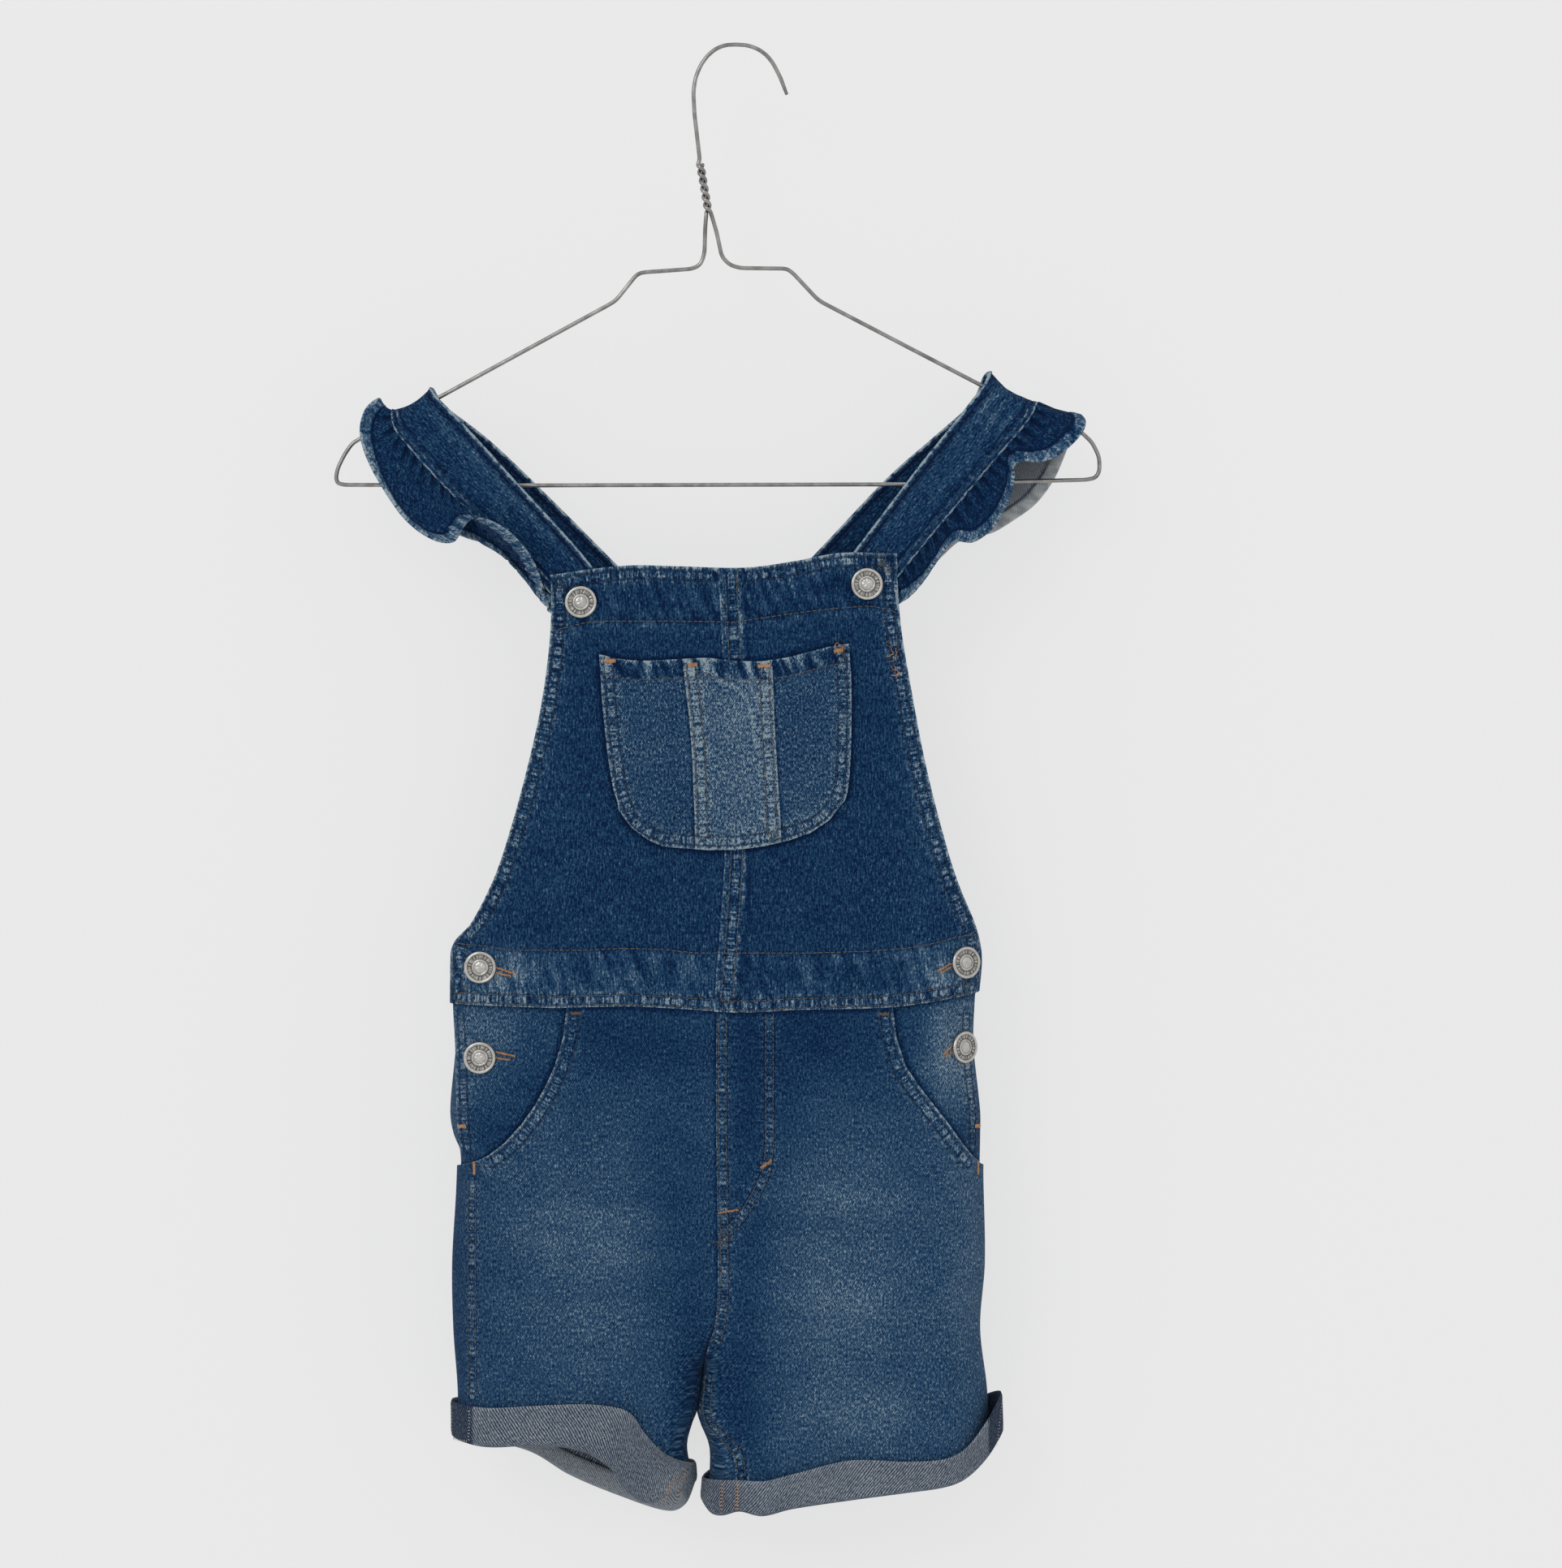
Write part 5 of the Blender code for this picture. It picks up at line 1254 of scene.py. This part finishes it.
# Ruffles: share of the strap's length, x, y and z of the hem
ruffles = {
    left: [
        (0.065, -95.5, -9.6, -303), (0.10, -100.5, -11.5, -296.5), (0.15, -102.5, -15, -284), (0.20, -108, -19, -271),
        (0.25, -118, -21, -259.5), (0.30, -130, -20, -252.5), (0.335, -139, -16, -252), (0.355, -144, -12, -257),
        (0.375, -149, -13, -264), (0.395, -160, -16, -262), (0.415, -173, -18, -252), (0.435, -186, -18, -234),
        (0.455, -195, -16, -217), (0.47, -198, -13, -204), (0.485, -195, -8, -192), (0.50, -189, 0, -186.5),
        (0.515, -191, 8, -192), (0.54, -189, 14, -210), (0.58, -177, 12, -235), (0.62, -161, 17, -252),
        (0.66, -147, 12, -259), (0.70, -135, 16, -263), (0.75, -122, 12, -271), (0.80, -111, 15, -283),
        (0.85, -101, 12, -295), (0.885, -88, 11.6, -293),
    ],
    right: [
        (0.065, 83, -9.6, -298), (0.10, 90.5, -11.5, -293.5), (0.15, 97.5, -14, -285.5), (0.19, 104, -17, -275.5),
        (0.215, 110.5, -16, -267), (0.24, 117, -14, -263.5), (0.26, 125, -15, -264), (0.29, 135, -18, -257),
        (0.32, 141, -20, -247), (0.345, 145, -19, -237), (0.362, 146.5, -16, -228.5), (0.375, 147, -13, -223.5),
        (0.39, 152, -13, -221), (0.41, 160, -14, -221.5), (0.43, 169, -14, -219), (0.455, 178.5, -11, -211.5),
        (0.475, 184.5, -7, -204), (0.49, 185.5, -3, -198.5), (0.50, 183, 0, -195.8), (0.52, 180.5, 7, -202),
        (0.56, 175.5, 13, -216), (0.60, 169.5, 10, -229.5), (0.64, 160, 14, -242), (0.68, 148, 11, -251),
        (0.72, 136.5, 14, -257.5), (0.77, 121, 11, -261), (0.82, 107, 13, -273), (0.86, 94, 12, -286), (0.895, 68, 11.8, -287),
    ],
}
ruffleCurves = {side: [curveOf(rows, column) for column in (1, 2, 3)] for side, rows in ruffles.items()}
# tone: the ruffles' low base tone, lower on the right, is painted shade in the recess behind the strap
gathers = {"hem": 6.6, "hemOut": 0.6, "pleat": 7.0, "pleatOut": 1.3, "tone": {left: 0.14, right: 0.05}, "hemTone": 0.52}


def rufflePoint(side, share, across):
    # A point of the ruffle's middle: across is 0 at the strap and 1 at the hem
    edge = strapPoint(side, share, np.ones_like(across))
    out = unit(edge - strapPoint(side, share, 0.75 + 0 * across))
    seam = edge - out * 0.9  # caught between the strap's two layers
    hem = stack(*(read(share) for read in ruffleCurves[side]))
    reach = np.linalg.norm(hem - seam, axis=-1, keepdims=True)
    a = across[..., None]
    return mix(seam, hem, a) + out * reach * 0.35 * a * (1 - a) * 2


def makeRuffle(side, name):
    first, last = ruffles[side][0][0], ruffles[side][-1][0]
    share, across = np.meshgrid(mix(first, last, spreadAlong(300, 1.2)), spreadAlong(30, 1.2), indexing="ij")
    middle = rufflePoint(side, share, across)
    normal = stripNormal(lambda a, b: rufflePoint(side, a, b), share, across) * (1 if side == left else -1)
    over = lengthsOf(middle, 1)
    fromHem = over[:, -1:] - over
    run = lengthsOf(middle, 0)[:, :1]
    wander = np.sin(run / 17.0) * 1.7 + np.sin(run / 7.3 + 2) * 0.8
    pleats = np.sin(2 * np.pi * run / gathers["pleat"] + wander) + 0.4 * np.sin(4 * np.pi * run / gathers["pleat"] + wander * 2)
    fall = np.exp(-((over / 10.0) ** 2)) * ease(over / 1.5)
    moved = middle + normal * (gathers["pleatOut"] * pleats * fall)[..., None]
    hemBand = ease((gathers["hem"] - fromHem) / 1.0 + 0.5)
    dents = 1 - 1.1 * np.maximum(np.sin(run * 0.85 + 3 * wander + 0.25 * fromHem) - 0.3, 0)
    # The low base tone, lower on the right ruffle, is painted shade in the recess between the strap and the hem
    base = gathers["tone"][side] + 0.22 * (share > 0.505) * (side == right)
    tone = base + gathers["hemTone"] * (0.45 + 0.55 * dents) * hemBand + 0.24 * np.exp(-((fromHem / 0.9) ** 2))
    # Painted light on the pleats' crests and painted shade in their troughs near the strap
    tone = tone + 0.34 * np.maximum(pleats - 0.6, 0) * fall - 0.30 * np.maximum(-pleats, 0) * np.exp(-((over / 7.0) ** 2)) * (1 - hemBand)
    # Painted shade: a dark line just past the raised hem band, toward the strap
    tone = tone - 0.55 * np.exp(-(((fromHem - gathers["hem"] - 0.5) / 0.7) ** 2))
    values = {"cloth": stack(run + 0 * over, over, 0), "fade": tone, "band": 30 + 0 * over, "along": run + 0 * over,
              "pucker": 0.45 * hemBand}
    thick = cut["ruffleWall"]
    extra = gathers["hemOut"] * np.sin(np.pi * clamp(fromHem / gathers["hem"])) ** 0.6 * (0.7 + 0.3 * dents)
    shell(f"ruffle_{name}_cloth",
          lambda inset: moved + normal * (thick / 2 - inset + extra * (1 - 2 * (inset + 0 * share) / thick))[..., None],
          thick, values, [deepDenim, ruffleUnderside], (f"ruffle_{name}",), within=(share[:-1, :-1] > 0.505) * (side == right))
    place = np.linspace(first + 0.004, last - 0.004, 300)
    width = np.interp(place, share[:, 0], over[:, -1])
    for way in (1, -1):
        line = rufflePoint(side, place, 1 - 5.9 / width)
        out = stripNormal(lambda a, b: rufflePoint(side, a, b), place, 1 - 5.9 / width) * way
        sew(f"ruffle_{name}", "navy", line + out * (thick / 2 + 0.1), out, thick=0.4)


# Turned-up cuffs, wrong side out
cuffLook = {"stations": 300, "lip": {left: cut["wall"] + 0.6, right: cut["wall"] + 1.8}, "tone": 0.47}


# Thread, ends in x and z, step and length of the stitches, laid across the line or along it
cuffSewing = {
    left: [("pale", -137.6, -720.5, -137.8, -738, 1.7, 1.5, True), ("pale", -146.3, -720, -146.3, -737, 1.7, 1.5, True),
           ("pale", -145.6, -737.4, -138.4, -737.4, 1.6, 1.3, True), ("orange", -33, -755, -39, -768, 1.9, 2.2, True),
           ("orange", -28.5, -753, -32.5, -764, 1.9, 2.2, True)],
    right: [("pale", 133.6, -717, 131.6, -741, 1.7, 1.6, True), ("orange", -4.6, -759, -5.4, -774.5, 1.8, 2.3, True),
            ("orange", 2.6, -758.5, 2.0, -773.5, 1.8, 2.3, True)],
}


def through(levels, t):
    # A smooth curve through a few levels, read at t
    levels = np.asarray(levels, float)
    slopes = np.gradient(levels, axis=0)
    i = np.minimum(t.astype(int), len(levels) - 2)
    f = (t - i).reshape(-1, *[1] * (levels.ndim - 1))
    return ((2 * f**3 - 3 * f**2 + 1) * levels[i] + (f**3 - 2 * f**2 + f) * slopes[i]
            + (3 * f**2 - 2 * f**3) * levels[i + 1] + (f**3 - f**2) * slopes[i + 1])


def makeCuff(side, name):
    share = 2 * np.arange(cuffLook["stations"]) / cuffLook["stations"]
    crease = np.full(share.shape, -750.0)
    for _ in range(8):
        face, x = roundAt(side, share, crease + cut["hemLift"])
        top, crease, off = (np.where(face == front, cuffCurves[side, front][k](x), cuffCurves[side, back][k](x)) for k in range(3))
    wall, lip = cut["wall"], cuffLook["lip"][side]
    up = crease + cut["hemLift"] + 4
    outerZ = through([top, (top + crease) / 2, crease + 4, crease + 1.1, crease, crease + 1.1, crease + 4, up],
                     np.linspace(0, 7, 44))
    innerZ = through([top, (top + crease) / 2, crease + 4, crease + 2.1, crease + wall, crease + 2.1, crease + 4, up],
                     np.linspace(0, 7, 44))
    outerIn = through([-off - wall, -off - wall, -off - wall, -off - wall * 0.4, lip - wall - off / 2,
                       0 * off + lip + wall * 0.5, 0 * off + lip + wall, 0 * off + lip + wall], np.linspace(0, 7, 44))
    innerIn = through([-off, -off, -off, 0.4 - off, lip - wall - off / 2, 0 * off + lip - 0.4, 0 * off + lip, 0 * off + lip],
                      np.linspace(0, 7, 44))

    def at(inset):
        part = (inset + 0 * outerZ) / wall
        z, moved = mix(outerZ, innerZ, part), mix(outerIn, innerIn, part)
        face, x = roundAt(side, share[None, :] + 0 * z, z)
        return skin(side, face, x, z, moved)

    grid = at(0.0)
    down = lengthsOf(grid, 0)
    x, z, isFront = grid[..., 0], grid[..., 2], grid[..., 1] < 0
    # Pale at the top edge from wear; paler on the inner return at the back, inside the leg, as painted light lifting
    # the shade there
    tone = cuffLook["tone"] + 0.16 * np.exp(-((down / 1.1) ** 2)) + 0.34 * ease((down - 21) / 5) * (1 - isFront)
    if side == left:
        patch = ease((-137.6 - x) / 1.0) * isFront * ease((22.5 - down) / 1.0)
        tone = tone + patches(x, z, 0, [(-52, -745, 24, 16, -0.07), (-110, -730, 40, 10, 0.04), (-34, -762, 8, 9, 0.18)]) * isFront
    else:
        patch = ease((x - 133.0) / 1.0) * ease((22.5 - down) / 1.0)
        tone = tone + patches(x, z, 0, [(60, -758, 60, 12, 0.05), (-6, -768, 9, 14, -0.10)]) * isFront
    tone = mix(tone, 0.02, patch)
    over = np.concatenate([np.zeros((len(grid), 1)), np.cumsum(np.linalg.norm(np.diff(grid, axis=1), axis=-1), 1)], 1)
    values = {"cloth": stack(over, down, 0), "fade": tone, "band": np.full(tone.shape, 30.0), "along": over,
              "pucker": 0 * tone}
    shell(f"cuff_{name}_cloth", at, wall, values, [wrongSide], (f"cuff_{name}",), ring=True)
    for thread, x1, z1, x2, z2, step, length, across in cuffSewing[side]:
        line = resample([(x1, z1), (x2, z2)], 1.0)
        out = -cuffCurves[side, front][2](line[:, 0]) - wall
        points = skin(side, front, line[:, 0], line[:, 1], out)
        sew(f"cuff_{name}", thread, points, unit(points - skin(side, front, line[:, 0], line[:, 1], out + 1.0)),
            step=step, length=length, thick=0.34 if thread == "pale" else 0.6, across=across, lift=0.1)


# Buttons: share of the radius and height over the cloth, from the shank out and back in to the middle
button = {
    "radius": 8.5,
    "profile": [(0.55, 0.2), (0.84, 0.5), (0.95, 0.85), (1.0, 1.35), (1.0, 1.75), (0.975, 2.2), (0.93, 2.5), (0.87, 2.55),
                (0.82, 2.35), (0.79, 2.05), (0.74, 1.98), (0.62, 1.98), (0.52, 2.0), (0.49, 2.2), (0.465, 2.42), (0.43, 2.5),
                (0.40, 2.42), (0.375, 2.25), (0.35, 2.25), (0.33, 2.45), (0.30, 2.62), (0.24, 2.72), (0.14, 2.78), (0.02, 2.8)],
    "places": [("button_bib_left", -81.5, -295.5, 0), ("button_bib_right", 69.5, -286, 0),
               ("button_waist_left", -134.2, -488, 0), ("button_waist_right", 121, -485.6, 0),
               ("button_hip_left", -134.4, -535.6, 1), ("button_hip_right", 121.6, -530.4, 1)],
}


def makeButtons():
    turn = np.arange(72) * 2 * np.pi / 72
    for number, (name, x, z, layer) in enumerate(button["places"]):
        side = left if x < 0 else right
        base = skin(side, front, x, z, layer * cut["layer"])
        axis = unit(skin(side, front, x, z, -1.0) - skin(side, front, x, z, 0.0))
        across = unit(np.cross(axis, [0, 0, 1.0]))
        upward = np.cross(across, axis)
        rings, grooves = [], []
        for share, height in button["profile"]:
            rays = (0.11 * np.sin(turn * 24 + number) + 0.08 * np.sin(turn * 17 + 2 * number)) * (0.55 < share < 0.78)
            rays = rays + 0.05 * np.sin(turn * 7 + number * 2)
            way = np.cos(turn)[:, None] * across + np.sin(turn)[:, None] * upward
            rings.append(base + axis * (height + rays)[:, None] + way * share * button["radius"])
            inBand = 0.55 < share < 0.80
            grooves.append(clamp(0.48 * inBand - rays * 4.4 * inBand + 1.0 * (0.355 < share < 0.38) + 0.95 * (0.50 < share < 0.53)
                                 + 0.9 * (share == 0.79)))
        points = np.concatenate(rings)
        cells = gridFaces(len(rings), 72, ring=True)
        ends = np.array([np.arange(72), np.arange(len(points) - 72, len(points))[::-1]])
        makePiece(f"{name}_metal", points, [cells[:, ::-1], ends], [buttonMetal], {"groove": np.concatenate(grooves)},
                  replaces=(name,))


for side, name in ((left, "left"), (right, "right")):
    makeStrap(side, name)
    makeRuffle(side, name)
    makeCuff(side, name)
makeButtons()
finishSewing()
print("straps, ruffles, cuffs, buttons and sewing made")

# Hanger: the wire's centre line in x and z, from the hook's tip to the twist and round the frame
wire = {
    "radius": 1.1,
    "hook": [(27.2, -25.5), (23.8, -16.5), (20, -9), (16.5, -4.6), (12, -1.3), (6.4, 0.7), (0, 1.1), (-5.6, 0.8),
             (-10.6, -1.2), (-15, -4.9), (-18.6, -10), (-21.3, -16.6), (-22.4, -24), (-21.8, -36), (-20.4, -48), (-19, -60)],
    "twist": ((-18.8, -62.5), (-14.3, -88.6)),
    "turns": 3,
    "frame": [(-16.1, -95.6), (-16.5, -109.6), (-18, -114.4), (-20.2, -116.8), (-24, -118.1), (-49.4, -119.9),
              (-52.6, -121.2), (-63, -134.2), (-66, -136.4), (-156.7, -185.9), (-197.4, -207.2), (-203.4, -210.6),
              (-207.6, -216.6), (-211.2, -224), (-212.1, -229), (-211.2, -231.8), (-207.6, -232.7), (-114.7, -233),
              (90, -232.4), (186, -230), (191, -229), (193.2, -225.4), (193, -218), (189.5, -210.5), (183.9, -205),
              (131.2, -180.3), (45.5, -135.6), (42.5, -133.2), (30.4, -120.2), (27, -117.9), (2.6, -117.6), (-3, -116),
              (-7.3, -111.6), (-10.1, -98.4)],
}


def rounded(line, reach=2.6):
    # Bends a line of points smoothly at its corners
    line = np.asarray(line, float)
    out = [line[0]]
    for before, here, after in zip(line[:-2], line[1:-1], line[2:]):
        start, end = (here + (other - here) * min(0.42, reach / np.linalg.norm(other - here)) for other in (before, after))
        for t in (0.0, 0.25, 0.5, 0.75, 1.0):
            out.append((1 - t) ** 2 * start + 2 * t * (1 - t) * here + t * t * end)
    return np.array([*out, line[-1]])


def makeHanger():
    start, end = (np.array([x, 0, z]) for x, z in wire["twist"])
    axis = end - start
    across = unit(np.array([-axis[2], 0, axis[0]]))
    t = np.linspace(0, 1, 12 * wire["turns"] + 1)
    turn = 2 * np.pi * wire["turns"] * t
    around = (wire["radius"] + cut["thinnest"]) * np.stack([np.cos(turn) * across[0], np.sin(turn), np.cos(turn) * across[2]], -1)
    middle = start + t[:, None] * axis
    hook, sides = (np.array([(x, 0, z) for x, z in wire[key]]) for key in ("hook", "frame"))
    route = rounded(np.concatenate([hook, middle - around, sides, (middle + around)[::-1]]))
    keep = np.concatenate([[True], np.linalg.norm(np.diff(route, axis=0), axis=1) > 0.05])
    route = route[keep]
    way = unit(np.gradient(route, axis=0))
    over = unit(np.cross(way, [0, 1.0, 0]))
    out = np.cross(over, way)
    turn = np.arange(16) * 2 * np.pi / 16
    circle = np.cos(turn)[None, :, None] * over[:, None] + np.sin(turn)[None, :, None] * out[:, None]
    radius = wire["radius"] * np.where(np.isin(np.arange(len(route)), (0, len(route) - 1)), 0.8, 1.0)
    points = route[:, None] + radius[:, None, None] * circle
    ends = np.array([np.arange(16)[::-1], np.arange(16) + 16 * (len(route) - 1)])
    makePiece("hanger_wire_metal", points, [gridFaces(len(route), 16, ring=True), ends], [wireMetal],
              replaces=("hanger",))


makeHanger()


# Pale wall close behind with a floor below, and soft light from the upper left
stage = {"wallY": 0.05, "floorZ": -3.0, "tone": 0.14, "glow": 0.678, "keyPower": 90.0, "keySize": 3.0, "sky": 0.93}


def makeStage():
    turn = np.linspace(0, np.pi / 2, 9)
    depth = [stage["wallY"], stage["wallY"], *(stage["wallY"] - 0.3 + 0.3 * np.cos(turn)), -6.0]
    height = [3.0, stage["floorZ"] + 0.31, *(stage["floorZ"] + 0.3 - 0.3 * np.sin(turn)), stage["floorZ"]]
    wide = np.array([-5.0, 5.0])
    points = stack(wide[None, :], np.array(depth)[:, None], np.array(height)[:, None]) / mm
    cells = gridFaces(len(depth), 2)
    mesh = bpy.data.meshes.new("wallAndFloor")
    mesh.from_pydata((points.reshape(-1, 3) * mm).tolist(), [], cells[:, ::-1].tolist())
    wall = bpy.data.objects.new("wallAndFloor", mesh)
    bpy.context.scene.collection.objects.link(wall)
    paper = bpy.data.materials.new("palePaper")
    paper.use_nodes = True
    tree = paper.node_tree
    shader = tree.nodes["Principled BSDF"]
    shader.inputs["Base Color"].default_value = (stage["tone"], stage["tone"], stage["tone"], 1)
    shader.inputs["Roughness"].default_value = 1.0
    shader.inputs["Specular IOR Level"].default_value = 0.0
    shader.inputs["Emission Color"].default_value = (1, 1, 1, 1)
    shader.inputs["Emission Strength"].default_value = stage["glow"]  # evens out the paper
    clear = tree.nodes.new("ShaderNodeBsdfTransparent")
    side = tree.nodes.new("ShaderNodeNewGeometry")
    either = tree.nodes.new("ShaderNodeMixShader")
    tree.links.new(side.outputs["Backfacing"], either.inputs[0])
    tree.links.new(shader.outputs[0], either.inputs[1])
    tree.links.new(clear.outputs[0], either.inputs[2])
    tree.links.new(either.outputs[0], tree.nodes["Material Output"].inputs[0])
    mesh.materials.append(paper)
    return wall


def makeLight(name, place, aim, size, power):
    light = bpy.data.lights.new(name, "AREA")
    light.shape, light.size, light.energy = "DISK", size, power
    lamp = bpy.data.objects.new(name, light)
    lamp.location = place
    lamp.rotation_euler = (Vector(aim) - Vector(place)).to_track_quat("-Z", "Y").to_euler()
    bpy.context.scene.collection.objects.link(lamp)


wall = makeStage()
makeLight("keyLight", (-3.2, -6.0, 3.0), (0.0, 0.0, -0.4), stage["keySize"], stage["keyPower"])
makeLight("backFill", (0.9, 1.8, 0.4), (0.0, 0.0, -0.42), 1.6, 9.0)
sky = bpy.data.worlds.new("paleRoom")
sky.use_nodes = True
sky.node_tree.nodes["Background"].inputs[0].default_value = (1.0, 1.0, 1.0, 1)
sky.node_tree.nodes["Background"].inputs[1].default_value = stage["sky"]
bpy.context.scene.world = sky
bpy.context.scene.view_settings.view_transform = "Standard"

lens = bpy.data.cameras.new("frontCamera")
lens.sensor_fit = "HORIZONTAL"
lens.sensor_width = 36.0
lens.lens = 36.0 * 2.2 / 0.829
camera = bpy.data.objects.new("frontCamera", lens)
camera.location = (0.0241, -2.2, -0.3915)
camera.rotation_euler = (math.pi / 2, 0, 0)
bpy.context.scene.collection.objects.link(camera)
bpy.context.scene.camera = camera
